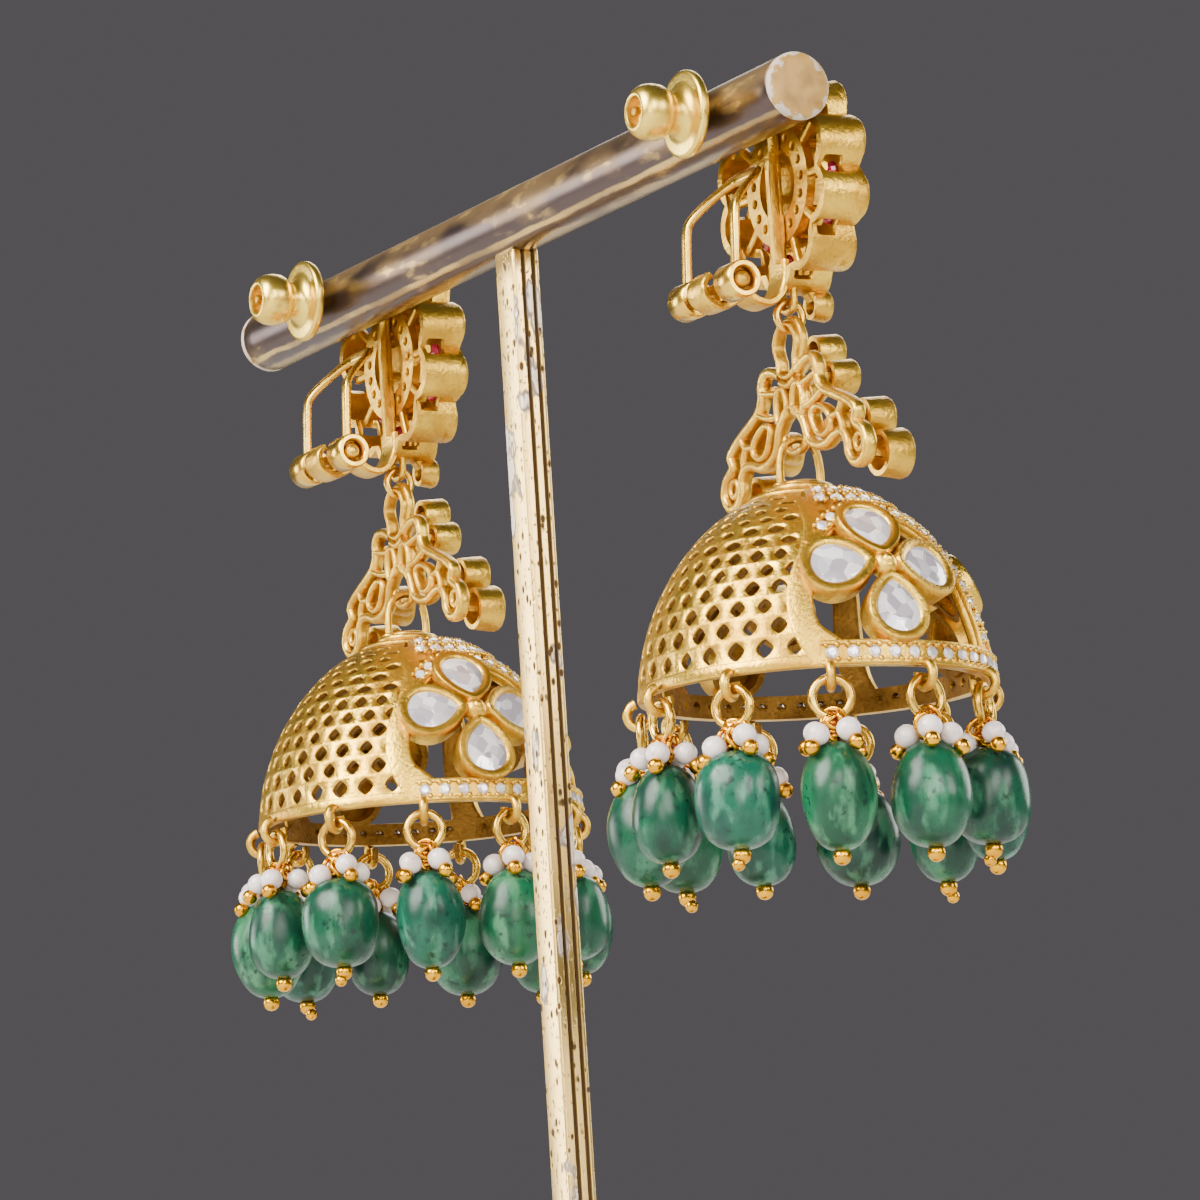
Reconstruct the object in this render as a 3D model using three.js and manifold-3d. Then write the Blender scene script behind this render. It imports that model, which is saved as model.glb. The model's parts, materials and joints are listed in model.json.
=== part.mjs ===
// A pair of jhumka earrings hanging on a T-bar display stand.
//
// Millimetres, +Z up. The origin is the middle of the underside of the stand's base. The bar
// lies along X. The earrings face -Y: their ear posts pass through the bar along +Y into
// bullet clutches. Each earring is built in a frame of its own, whose origin is the point
// where its ear post crosses the bar's axis.
import * as THREE from 'three';
import { mergeVertices } from 'three/addons/utils/BufferGeometryUtils.js';
import Module from 'manifold-3d';

const wasm = await Module();
wasm.setup();

// ---- driving dimensions ----

const CLEARANCE = 0.3;           // between pieces that plug into one another
const LINK_PLAY = 0.12;          // between links that hang in one another

const STAND = {
  baseWidth: 104, baseDepth: 64, baseThickness: 4, baseCorner: 9, socketDepth: 2.5,
  barHeight: 175, barRadius: 3.175, barLength: 116, barWall: 0.8, capThickness: 1,
  postWidth: 3.9, postDepth: 2.9, grooveWidth: 0.4, grooveDepth: 0.4, grooves: [0.35, -0.75],
  holeRadius: 0.85,
};

const EARRINGS = [
  { name: 'left', x: -45 },
  { name: 'right', x: 38 },
];

const HANG_Y = -4.6;            // plane in which everything below the ear top hangs

const EAR_TOP = {
  centreZ: -6.3, petals: 10, petalRing: 7.4, petalRadius: 2.9, hollowRadius: 5.9,
  backY: -3.5, depth: 4.6, faceThickness: 0.8,
  haloOuter: 5.2, haloInner: 3.4, haloDepth: 1.6, centreRadius: 2.4, centreDepth: 2.6,
  postRadius: 0.45, postEndY: 10.5,
  stripWidth: 2.8, stripThickness: 0.8, stripTop: 1.6, stripBottom: -15.4,
  slotReach: 9, slotLength: 5, slotDepth: 2, slotHeight: 1.6,
  loopTop: -15.6, loopZ: -18.2, loopRadius: 0.38, loopHalfWidth: 1.05, loopOverlap: 0.3,
  dropStoneZ: -17.6, dropStoneRadius: 1.5, dropStoneBackY: -6.7, dropStoneDepth: 1.8,
};

const HINGE = {
  y: 3.2, z: -16.6, pinRadius: 0.7, pinHalfLength: 5.4, ballRadius: 0.84,
  armWidth: 4.2, armThickness: 0.9,
};

const CLIP = {
  barrelOuter: 1.75, barrelInner: 1.05, barrelNear: 2.8, barrelFar: 6, wireRadius: 0.5,
  leg: [[4.4, 3.2, -15.2], [4.6, 2.9, -11.4], [4.4, 1.7, -8], [3.2, -0.4, -5.8]],
  crown: [0, -1, -5.5],
};

// [radius, distance from the disc's face] round the clutch's section
const CLUTCH = {
  discY: 4.5,
  section: [
    [0.75, 0], [3.75, 0], [3.95, 0.2], [3.95, 0.8], [3.65, 1], [1.8, 1.1], [1.6, 2.3],
    [2.4, 3], [2.65, 4.2], [2.3, 5.8], [1.6, 6.3], [1.3, 6], [1.3, 5.3], [0.75, 5.3], [0.75, 0],
  ],
};

const TOP_RING = { radius: 1.35, wire: 0.36 };

// X and Z from the top of the connector's loop; [half width, half height, sides, x, z] for a hole
const CONNECTOR = {
  thickness: 0.85, dip: 12.3, wire: 0.45, collarDepth: 2.9,
  rightHalf: [
    [0, 0.45], [1.1, 0.05], [1.75, -1], [1.9, -2.4], [1.6, -3.9], [2.5, -5], [2.6, -6.4],
    [3.6, -7.8], [6.4, -9.1], [8.8, -10], [10.8, -11.2], [12, -12.9], [11.8, -14.5],
    [10.6, -15.1], [9.4, -14.4], [8.4, -12.9], [6.6, -12], [4.2, -11.6], [2.4, -11],
    [1.9, -12.2], [1, -12.7], [0, -12.72],
  ],
  middleHoles: [[1.1, 1.85, 8, 0, -2.3], [1.1, 0.9, 6, 0, -6.2], [1.25, 1.7, 8, 0, -10.2]],
  sideHoles: [[1.2, 0.7, 6, 4.6, -9.8], [0.9, 0.8, 6, 7.9, -10.9], [0.95, 0.9, 6, 10.6, -13.1]],
  collets: [[0, -5.9, 1.7], [3.3, -8.3, 1.6], [6.7, -10.5, 1.7], [10.5, -13.1, 2]],
};

const DOME = {
  rimRadius: 16.25, height: 19, wall: 0.9, bulge: 1.8, sides: 28,
  rimBand: 2.3, rimProud: 0.35,
  windowSpans: [[-115, -55], [-30, 30], [55, 115]], windowLow: 2.8, windowHigh: 15.4,
  flowerAngles: [-90, 0, 90], flowerHeight: 9.3, petalRadius: 2.85, petalOffset: 4.3,
  petalDepth: 2, heartRadius: 2.1,
  bailWire: 0.38, bailHalfWidth: 2.1, bailAboveDip: 1.15, capRadius: 2.9,
  hookRadius: 1.15, hookWire: 0.4, hookDrop: 0.85, hookCircle: 16.1,
};

const DROP = {
  count: 11, ringRadius: 1.75, ringWire: 0.42,
  wrapRadius: 0.72, wrapTop: -0.3, collarRadius: 2.7,
  beadTop: -4, beadRadius: 3.6, beadLength: 9.4, bulge: 2.3, ballRadius: 0.75,
};

// ---- heights that follow from the links being threaded through one another ----

const RING_CENTRE_Z = EAR_TOP.loopZ + EAR_TOP.loopRadius + TOP_RING.wire + LINK_PLAY
  - TOP_RING.radius;
const CONNECTOR_TOP_Z = RING_CENTRE_Z - TOP_RING.radius + TOP_RING.wire + CONNECTOR.wire
  + LINK_PLAY;
const DIP_Z = CONNECTOR_TOP_Z - CONNECTOR.dip;
const BAIL_TOP_Z = DIP_Z + DOME.bailAboveDip;
const RIM_Z = -54;
const HOOK_BOTTOM_Z = RIM_Z - DOME.hookDrop - DOME.hookRadius;
const DROP_RING_Z = HOOK_BOTTOM_Z + DOME.hookWire + DROP.ringWire + LINK_PLAY
  - DROP.ringRadius;

// ---- metals and stones ----

const metal = (color, roughness) => new THREE.MeshStandardMaterial(
  { color, roughness, metalness: 1 });

const MATERIALS = {
  castGold: () => metal(0xd9a441, 0.38),
  wireGold: () => metal(0xe0b54a, 0.28),
  clutchGold: () => metal(0xe6c45c, 0.25),
  bronze: () => metal(0x4a3a30, 0.42),
  paleGold: () => metal(0xd8c08a, 0.45),
  cap: () => new THREE.MeshStandardMaterial({ color: 0xc9a46a, roughness: 0.7 }),
  bead: () => new THREE.MeshStandardMaterial({ color: 0x2c7a57, roughness: 0.2 }),
};

// ---- solids ----

/** A closed geometry as a manifold solid, with its shared corners merged. */
function toSolid(geometry) {
  const bare = geometry.clone();
  bare.deleteAttribute('normal');
  bare.deleteAttribute('uv');
  const merged = mergeVertices(bare, 1e-4);
  return new wasm.Manifold(new wasm.Mesh({
    numProp: 3,
    vertProperties: new Float32Array(merged.attributes.position.array),
    triVerts: new Uint32Array(merged.index.array),
  }));
}

/** A manifold solid back as a geometry. */
function toGeometry(solid) {
  const mesh = solid.getMesh();
  const geometry = new THREE.BufferGeometry();
  geometry.setAttribute('position', new THREE.BufferAttribute(mesh.vertProperties, 3));
  geometry.setIndex(new THREE.BufferAttribute(mesh.triVerts, 1));
  geometry.computeVertexNormals();
  return geometry;
}

/** Everything in `parts` as one soldered solid, less everything in `cuts`. */
function soldered(parts, cuts = []) {
  const whole = parts.map(toSolid).reduce((a, b) => a.add(b));
  return toGeometry(cuts.map(toSolid).reduce((a, b) => a.subtract(b), whole));
}

function circlePoints(radius, sides, x = 0, y = 0, phase = 0) {
  return Array.from({ length: sides }, (_, i) => {
    const angle = phase + (i / sides) * 2 * Math.PI;
    return new THREE.Vector2(x + radius * Math.cos(angle), y + radius * Math.sin(angle));
  });
}

function ovalPoints(halfWidth, halfHeight, sides, x, y) {
  return circlePoints(1, sides).map(
    (p) => new THREE.Vector2(x + p.x * halfWidth, y + p.y * halfHeight));
}

/** A flat outline, with holes, pushed `depth` along +Z. */
function slab(outline, depth, holes = []) {
  const shape = new THREE.Shape(outline);
  shape.holes = holes.map((points) => new THREE.Path(points));
  return new THREE.ExtrudeGeometry(shape, { depth, bevelEnabled: false });
}

/** A slab drawn in X and Z, whose back is at `backY` and which is `depth` thick towards -Y. */
function facing(outline, backY, depth, holes = []) {
  return slab(outline, depth, holes).rotateX(Math.PI / 2).translate(0, backY, 0);
}

/** A slab drawn in Y and Z, reaching along X from `fromX` to `toX`. */
function across(outline, fromX, toX, holes = []) {
  return slab(outline, toX - fromX, holes)
    .rotateX(Math.PI / 2).rotateZ(Math.PI / 2).translate(fromX, 0, 0);
}

/** A round wire of `sides` flats through the points of a curve. */
function wire(points, radius, steps, sides = 6) {
  const curve = new THREE.CatmullRomCurve3(points.map((p) => new THREE.Vector3(...p)));
  return new THREE.ExtrudeGeometry(new THREE.Shape(circlePoints(radius, sides)),
    { steps, extrudePath: curve });
}

function rod(radius, from, to, sides = 8) {
  const start = new THREE.Vector3(...from);
  const span = new THREE.Vector3(...to).sub(start);
  const geometry = new THREE.CylinderGeometry(radius, radius, span.length(), sides);
  geometry.applyQuaternion(new THREE.Quaternion().setFromUnitVectors(
    new THREE.Vector3(0, 1, 0), span.clone().normalize()));
  return geometry.translate(...start.addScaledVector(span, 0.5).toArray());
}

/** A turned piece about Z, from [radius, height] pairs that start and end on the axis. */
function turned(profile, sides) {
  const points = profile.map(([radius, height]) => new THREE.Vector2(radius, height));
  return new THREE.LatheGeometry(points, sides).rotateX(Math.PI / 2);
}

/** A mesh that takes its place in the earring or the stand. */
function piece(name, geometry, material) {
  const mesh = new THREE.Mesh(geometry, material());
  mesh.name = name;
  return mesh;
}

// ---- the stand ----

function standBase() {
  const { baseWidth, baseDepth, baseThickness, baseCorner, socketDepth } = STAND;
  const halfX = baseWidth / 2 - baseCorner;
  const halfY = baseDepth / 2 - baseCorner;
  const quarter = (cx, cy, start) => Array.from({ length: 6 }, (_, i) => {
    const angle = start + (i / 5) * (Math.PI / 2);
    return new THREE.Vector2(
      cx + baseCorner * Math.cos(angle), cy + baseCorner * Math.sin(angle));
  });
  const outline = [
    ...quarter(halfX, halfY, 0), ...quarter(-halfX, halfY, Math.PI / 2),
    ...quarter(-halfX, -halfY, Math.PI), ...quarter(halfX, -halfY, 1.5 * Math.PI),
  ];
  const socketCut = new THREE.BoxGeometry(STAND.postWidth + 2 * CLEARANCE,
    STAND.postDepth + 2 * CLEARANCE, socketDepth * 2).translate(0, 0, baseThickness);
  return soldered([slab(outline, baseThickness)], [socketCut]);
}

/** Square bar, grooved twice down each side that faces along X, its top saddled to the bar. */
function standPost() {
  const { postWidth, postDepth, grooveWidth, grooveDepth, grooves, barHeight, barRadius } = STAND;
  const half = postWidth / 2;
  const grooved = grooves.flatMap((centre) => [
    [half, centre + grooveWidth / 2], [half - grooveDepth, centre],
    [half, centre - grooveWidth / 2],
  ]);
  const side = [[half, postDepth / 2], ...grooved, [half, -postDepth / 2]];
  const outline = [...side, ...side.toReversed().map(([x, y]) => [-x, y])]
    .toReversed().map(([x, y]) => new THREE.Vector2(x, y));
  const bottom = STAND.baseThickness - STAND.socketDepth + CLEARANCE;
  const post = slab(outline, barHeight - barRadius / 2 - bottom).translate(0, 0, bottom);
  const saddle = rod(barRadius + CLEARANCE / 2, [-10, 0, barHeight], [10, 0, barHeight], 24);
  return soldered([post], [saddle]);
}

function standBar() {
  const { barHeight, barRadius, barLength, barWall, capThickness, holeRadius } = STAND;
  const reach = barLength / 2 - capThickness;
  const tube = across(circlePoints(barRadius, 20), -reach, reach,
    [circlePoints(barRadius - barWall, 20)]).translate(0, 0, barHeight);
  const holes = EARRINGS.map(({ x }) => rod(holeRadius, [x, -5, barHeight], [x, 5, barHeight]));
  return soldered([tube], holes);
}

/** A closing plug: a disc as wide as the tube, and a spigot that goes into it. */
function standCap(side) {
  const { barHeight, barRadius, barLength, barWall, capThickness } = STAND;
  const spigot = barRadius - barWall - CLEARANCE;
  const profile = [
    [0, 0], [barRadius, 0], [barRadius, capThickness - 0.1], [spigot, capThickness - 0.1],
    [spigot, capThickness + 2], [0, capThickness + 2],
  ];
  return turned(profile, 20).rotateY(-side * Math.PI / 2)
    .translate(side * barLength / 2, 0, barHeight);
}

// ---- one earring, piece by piece ----

/** Outline of ten round petals side by side. */
function petalOutline({ petals, petalRing, petalRadius, centreZ }) {
  const half = Math.PI / petals;
  const valley = petalRing * Math.cos(half)
    + Math.sqrt(petalRadius ** 2 - (petalRing * Math.sin(half)) ** 2);
  const sweep = Math.atan2(valley * Math.sin(half), valley * Math.cos(half) - petalRing);
  const steps = 3;
  return Array.from({ length: petals * steps }, (_, i) => {
    const angle = -Math.PI / 2 + Math.floor(i / steps) * 2 * half;
    const turn = angle + sweep * ((2 * (i % steps)) / steps - 1);
    return new THREE.Vector2(
      petalRing * Math.cos(angle) + petalRadius * Math.cos(turn),
      centreZ + petalRing * Math.sin(angle) + petalRadius * Math.sin(turn));
  });
}

function earTop() {
  const t = EAR_TOP;
  const frontY = t.backY - t.depth;
  const centred = (radius, sides) => circlePoints(radius, sides, 0, t.centreZ);
  const wall = facing(petalOutline(t), t.backY, t.depth, [centred(t.hollowRadius, 16)]);
  const face = facing(centred(t.hollowRadius + 0.3, 16), frontY + t.faceThickness,
    t.faceThickness);
  const halo = facing(centred(t.haloOuter, 14), frontY + t.faceThickness + t.haloDepth,
    t.haloDepth + 0.1, [centred(t.haloInner, 12)]);
  const centre = facing(centred(t.centreRadius, 10), frontY + t.centreDepth, t.centreDepth + 0.7);
  const strip = facing([
    new THREE.Vector2(-t.stripWidth / 2, t.stripBottom),
    new THREE.Vector2(t.stripWidth / 2, t.stripBottom),
    new THREE.Vector2(t.stripWidth / 2, t.stripTop),
    new THREE.Vector2(-t.stripWidth / 2, t.stripTop),
  ], t.backY, t.stripThickness);
  const post = rod(t.postRadius, [0, t.backY - 0.5, 0], [0, t.postEndY, 0]);
  const dropStone = facing(circlePoints(t.dropStoneRadius, 10, 0, t.dropStoneZ),
    t.dropStoneBackY, t.dropStoneDepth);
  const bow = t.loopHalfWidth + t.loopOverlap;
  const loop = [
    ...[-t.loopHalfWidth, t.loopHalfWidth].map((x) => rod(
      t.loopRadius, [x, HANG_Y, t.loopZ], [x, HANG_Y, t.loopTop], 6)),
    rod(t.loopRadius, [-bow, HANG_Y, t.loopZ], [bow, HANG_Y, t.loopZ], 6),
  ];
  const slots = Array.from({ length: t.petals }, (_, i) => {
    const angle = -Math.PI / 2 + ((i + 0.5) * 2 * Math.PI) / t.petals;
    return new THREE.BoxGeometry(t.slotLength, t.slotDepth, t.slotHeight).rotateY(-angle)
      .translate(t.slotReach * Math.cos(angle), t.backY - t.slotDepth,
        t.centreZ + t.slotReach * Math.sin(angle));
  });
  const flower = toSolid(soldered([wall], slots));
  const rest = [face, halo, centre, strip, post, dropStone, ...loop, ...hingeBracket()];
  return toGeometry(rest.map(toSolid).reduce((a, b) => a.add(b), flower));
}

/** The arm that runs back from the strip, and the pin on its end that the clip turns on. */
function hingeBracket() {
  const h = HINGE;
  const pinEnd = h.pinHalfLength;
  const arm = across([
    new THREE.Vector2(EAR_TOP.backY - 0.4, EAR_TOP.stripBottom + 1),
    new THREE.Vector2(EAR_TOP.backY - 0.4, EAR_TOP.stripBottom - 0.1),
    new THREE.Vector2(h.y - 0.2, h.z - h.armThickness / 2),
    new THREE.Vector2(h.y + 0.3, h.z + h.armThickness / 2),
  ], -h.armWidth / 2, h.armWidth / 2);
  return [
    arm, rod(h.pinRadius, [-pinEnd, h.y, h.z], [pinEnd, h.y, h.z]),
    ...[-1, 1].map((side) => new THREE.IcosahedronGeometry(h.ballRadius, 0)
      .translate(side * pinEnd, h.y, h.z)),
  ];
}

/** Two barrels on the pin and one wire that rises from them and arches across behind the ear. */
function omegaClip() {
  const c = CLIP;
  const path = [...c.leg.map(([x, y, z]) => [-x, y, z]), c.crown, ...c.leg.toReversed()];
  const barrel = (fromX, toX) => across(circlePoints(c.barrelOuter, 10, HINGE.y, HINGE.z),
    fromX, toX, [circlePoints(c.barrelInner, 10, HINGE.y, HINGE.z)]);
  return soldered([
    barrel(c.barrelNear, c.barrelFar), barrel(-c.barrelFar, -c.barrelNear),
    wire(path, c.wireRadius, 16),
  ]);
}

/** A disc that bears on the bar's side and a bullet barrel that grips the post, bored through. */
function clutch() {
  return new THREE.LatheGeometry(
    CLUTCH.section.map(([r, y]) => new THREE.Vector2(r, y + CLUTCH.discY)), 14);
}

function topRing() {
  return new THREE.TorusGeometry(TOP_RING.radius, TOP_RING.wire, 5, 10)
    .rotateY(Math.PI / 2).translate(0, HANG_Y, RING_CENTRE_Z);
}

/** Pierced plate with a loop above, a round lobe on each side, and stone collets in front. */
function connector() {
  const c = CONNECTOR;
  const leftHalf = c.rightHalf.slice(1, -1).reverse().map(([x, z]) => [-x, z]);
  const outline = [...c.rightHalf, ...leftHalf].map(([x, z]) => new THREE.Vector2(x, z));
  const mirrored = c.sideHoles.map(([w, h, sides, x, z]) => [w, h, sides, -x, z]);
  const holes = [...c.middleHoles, ...c.sideHoles, ...mirrored].map((hole) => ovalPoints(...hole));
  const plate = facing(outline, HANG_Y + c.thickness / 2, c.thickness, holes);
  const otherSide = c.collets.slice(1).map(([x, z, radius]) => [-x, z, radius]);
  const collets = [...c.collets, ...otherSide].map(
    ([x, z, radius]) => facing(circlePoints(radius, 7, x, z), HANG_Y, c.collarDepth));
  return soldered([plate, ...collets]).translate(0, 0, CONNECTOR_TOP_Z);
}

/** Radius of the dome's outside at a height above its rim: a rounded bell. */
function domeRadius(height, shrink = 0) {
  const share = Math.min(height / (DOME.height - shrink), 1);
  return (DOME.rimRadius - shrink) * Math.sqrt(1 - share ** DOME.bulge);
}

/** The bell's wall: down the inside, round the rim band, and up the outside to the apex. */
function domeShell() {
  const { height, wall, rimBand, rimProud, rimRadius } = DOME;
  const inside = [height - wall, 16.6, 13.4, 8.6, 3.6].map((h) => [domeRadius(h, wall), h]);
  const outside = [5.6, 9.8, 13.6, 16.8, height].map((h) => [domeRadius(h), h]);
  const band = rimRadius + rimProud;
  return turned([
    ...inside, [rimRadius - wall, 0], [band, 0], [band, rimBand - 0.1],
    [domeRadius(rimBand), rimBand], ...outside,
  ], DOME.sides);
}

/** An angle in radians, from one in degrees that is nought at the front of the earring. */
function fromFront(degrees) {
  return THREE.MathUtils.degToRad(degrees - 90);
}

/** A wedge that clears one window of the bell between two ribs. */
function windowCut([from, to]) {
  const reach = DOME.rimRadius * 1.4;
  const corners = [from, (from + to) / 2, to].map(fromFront).map(
    (angle) => new THREE.Vector2(reach * Math.cos(angle), reach * Math.sin(angle)));
  return slab([new THREE.Vector2(0, 0), ...corners], DOME.windowHigh - DOME.windowLow)
    .translate(0, 0, DOME.windowLow);
}

/** Four round collets about a heart, laid on the bell's surface in a window. */
function flower(centre) {
  const h = DOME.flowerHeight;
  const radius = domeRadius(h) - DOME.wall / 2;
  const slope = Math.atan2(domeRadius(h - 0.5) - domeRadius(h + 0.5), 1);
  const collet = (size, along, up) => {
    const swing = along / radius;
    const height = h + up * Math.cos(slope);
    const tilt = slope + up * 0.06;
    return new THREE.CylinderGeometry(size, size, DOME.petalDepth, 7)
      .rotateZ(-Math.PI / 2 + tilt)
      .rotateX(Math.PI / 2)
      .translate(domeRadius(height) - 0.3, 0, height)
      .rotateZ(centre + swing);
  };
  const { petalRadius, petalOffset, heartRadius } = DOME;
  return [
    collet(heartRadius, 0, 0), collet(petalRadius, petalOffset, 0),
    collet(petalRadius, -petalOffset, 0), collet(petalRadius, 0, petalOffset),
    collet(petalRadius, 0, -petalOffset),
  ];
}

function dome() {
  const d = DOME;
  const shell = toSolid(soldered([domeShell()], d.windowSpans.map(windowCut)));
  const hooks = Array.from({ length: DROP.count }, (_, i) =>
    new THREE.TorusGeometry(d.hookRadius, d.hookWire, 4, 7).rotateX(Math.PI / 2)
      .translate(d.hookCircle, 0, -d.hookDrop).rotateZ(dropAngle(i)));
  const side = d.bailHalfWidth;
  const crown = BAIL_TOP_Z - RIM_Z;
  const bail = wire([
    [0, -side, d.height - 0.9], [0, -side, crown - 2.6], [0, -side * 0.72, crown - 0.7],
    [0, 0, crown], [0, side * 0.72, crown - 0.7], [0, side, crown - 2.6],
    [0, side, d.height - 0.9],
  ], d.bailWire, 10, 5);
  const cap = turned([[0, d.height - 1.2], [d.capRadius, d.height - 1.2],
    [d.capRadius, d.height + 0.1], [0, d.height + 0.4]], 10);
  const flowers = d.flowerAngles.map(fromFront).flatMap(flower);
  const rest = [...flowers, ...hooks, bail, cap];
  return toGeometry(rest.map(toSolid).reduce((a, b) => a.add(b), shell))
    .translate(0, HANG_Y, RIM_Z);
}

function dropAngle(i) {
  return -Math.PI / 2 + ((i + 0.5) * 2 * Math.PI) / DROP.count;
}

/** Jump ring, wrapped wire, a collar of pearls, a tumbled bead and its end ball, in one. */
function drop(i) {
  const d = DROP;
  const bead = d.beadRadius + 0.3 * Math.sin(2.4 * i);
  const half = d.beadLength / 2 + 0.3 * Math.cos(1.7 * i);
  const bottom = d.beadTop - 2 * half;
  const beadProfile = [-0.94, -0.6, 0, 0.6, 0.94].map((share) => [
    bead * Math.sqrt(1 - Math.abs(share) ** d.bulge), d.beadTop - half + half * share,
  ]);
  const profile = [
    [0, bottom - 1.5], [d.ballRadius, bottom - 0.8], [d.ballRadius * 0.6, bottom - 0.1],
    ...beadProfile, [d.collarRadius, d.beadTop + 0.6], [d.collarRadius, d.beadTop + 1.6],
    [d.wrapRadius, d.wrapTop - 0.7], [0, d.wrapTop],
  ];
  const ring = new THREE.TorusGeometry(d.ringRadius, d.ringWire, 4, 8)
    .rotateX(Math.PI / 2).rotateZ(Math.PI / 2);
  return soldered([turned(profile, 7), ring]);
}

function earring({ name, x }) {
  const group = new THREE.Group();
  const add = (part, geometry, material) => group.add(
    piece(`${name}_${part}`, geometry, material));
  add('ear_top', earTop(), MATERIALS.castGold);
  add('omega_clip', omegaClip(), MATERIALS.wireGold);
  add('clutch', clutch(), MATERIALS.clutchGold);
  add('top_ring', topRing(), MATERIALS.wireGold);
  add('connector', connector(), MATERIALS.castGold);
  add('dome', dome(), MATERIALS.castGold);
  for (let i = 0; i < DROP.count; i += 1) {
    const hanging = piece(`${name}_drop_${String(i + 1).padStart(2, '0')}`, drop(i),
      MATERIALS.bead);
    const angle = dropAngle(i);
    hanging.position.set(DOME.hookCircle * Math.cos(angle),
      HANG_Y + DOME.hookCircle * Math.sin(angle), DROP_RING_Z);
    hanging.rotation.z = angle;
    group.add(hanging);
  }
  group.position.set(x, 0, STAND.barHeight);
  return group;
}

const model = new THREE.Group();
model.add(
  piece('stand_base', standBase(), MATERIALS.paleGold),
  piece('stand_post', standPost(), MATERIALS.paleGold),
  piece('stand_bar', standBar(), MATERIALS.bronze),
  piece('stand_cap_left', standCap(-1), MATERIALS.cap),
  piece('stand_cap_right', standCap(1), MATERIALS.cap),
  ...EARRINGS.map(earring),
);

export default model;
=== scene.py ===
"""Looks for a pair of jhumka earrings hanging on a T-bar stand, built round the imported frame.

All shapes are worked out in millimetres with numpy and turned into metres when a mesh is made.
An earring's own frame has its origin where the ear post crosses the bar's axis: X runs along
the bar, -Y is the front of the earring and Z is up.
"""

import json
import logging
import math
from dataclasses import dataclass, field
from enum import Enum
from typing import Callable, Optional, Sequence, Union

import bmesh
import bpy
import numpy as np
from mathutils import Matrix, Vector


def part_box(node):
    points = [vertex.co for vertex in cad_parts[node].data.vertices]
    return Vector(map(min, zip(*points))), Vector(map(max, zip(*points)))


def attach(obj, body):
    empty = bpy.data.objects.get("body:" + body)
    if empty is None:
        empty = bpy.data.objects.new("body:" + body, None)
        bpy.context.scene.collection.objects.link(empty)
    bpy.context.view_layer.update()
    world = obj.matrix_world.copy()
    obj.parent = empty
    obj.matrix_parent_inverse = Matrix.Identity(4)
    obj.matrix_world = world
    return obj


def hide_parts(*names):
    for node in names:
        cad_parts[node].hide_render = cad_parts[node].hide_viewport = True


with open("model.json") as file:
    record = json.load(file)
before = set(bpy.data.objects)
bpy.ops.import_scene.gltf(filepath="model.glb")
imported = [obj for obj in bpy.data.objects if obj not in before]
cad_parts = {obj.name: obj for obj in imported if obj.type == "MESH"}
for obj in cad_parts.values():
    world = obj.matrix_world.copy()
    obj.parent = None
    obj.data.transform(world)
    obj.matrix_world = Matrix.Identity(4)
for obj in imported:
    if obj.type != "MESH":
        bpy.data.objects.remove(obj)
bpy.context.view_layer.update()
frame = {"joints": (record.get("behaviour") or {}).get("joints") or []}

Array = np.ndarray
Colour = tuple[float, float, float]
LOG = logging.getLogger("jhumka")
MM = 0.001
GROOVES = (0.35, -0.75)     # where the post's grooves run on its X sides
FORWARD = np.array([0.0, -1.0, 0.0])
ALONG_BAR = np.array([1.0, 0.0, 0.0])


# ---------------------------------------------------------------- solids from arrays


@dataclass
class Solid:
    """Points in millimetres and faces of four corners, the last -1 where there are three."""

    points: Array
    faces: Array

    def moved(self, offset: Sequence[float]) -> "Solid":
        """Returns the solid shifted by an offset."""
        return Solid(self.points + np.asarray(offset, float), self.faces)

    def mapped(self, matrix: Array) -> "Solid":
        """Returns the solid with each point multiplied by a 3 by 3 matrix."""
        return Solid(self.points @ np.asarray(matrix, float).T, self.faces)


def joined(parts: Sequence[Solid]) -> Solid:
    """Puts several solids into one set of arrays.

    Args:
        parts: the solids.
    Returns:
        One solid that holds them all.
    """
    starts = np.cumsum([0] + [len(p.points) for p in parts[:-1]])
    faces = [np.where(p.faces >= 0, p.faces + s, -1) for p, s in zip(parts, starts)]
    return Solid(np.concatenate([p.points for p in parts]), np.concatenate(faces))


def grid_faces(rows: int, cols: int, wrap_rows: bool, wrap_cols: bool) -> Array:
    """Quads between neighbouring points of a grid stored row by row.

    Args:
        rows: number of rows.
        cols: points in a row.
        wrap_rows: whether the last row meets the first.
        wrap_cols: whether each row closes on itself.
    Returns:
        Corner numbers, four to a face.
    """
    r = np.arange(rows if wrap_rows else rows - 1)[:, None]
    c = np.arange(cols if wrap_cols else cols - 1)[None, :]
    r2, c2 = (r + 1) % rows, (c + 1) % cols
    corners = [r * cols + c, r * cols + c2, r2 * cols + c2, r2 * cols + c]
    return np.stack([np.broadcast_to(k, (len(r), c.shape[1])) for k in corners], -1).reshape(-1, 4)


def fan_faces(ring: Array, centre: int) -> Array:
    """Triangles from each side of a ring of corners to one centre point."""
    return np.stack([ring, np.roll(ring, -1), np.full(len(ring), centre), np.full(len(ring), -1)], -1)


def capped(rings: Array) -> Solid:
    """Rings of points lofted into a closed body: end rings are closed by a fan to their mean.

    Args:
        rings: array of (rings, corners, 3).
    Returns:
        The closed solid.
    """
    rows, cols, _ = rings.shape
    points = np.concatenate([rings.reshape(-1, 3), rings[:1].mean(1), rings[-1:].mean(1)])
    ends = [fan_faces(np.arange(cols), rows * cols),
            fan_faces(np.arange(cols) + (rows - 1) * cols, rows * cols + 1)]
    return Solid(points, np.concatenate([grid_faces(rows, cols, False, True)] + ends))


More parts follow.
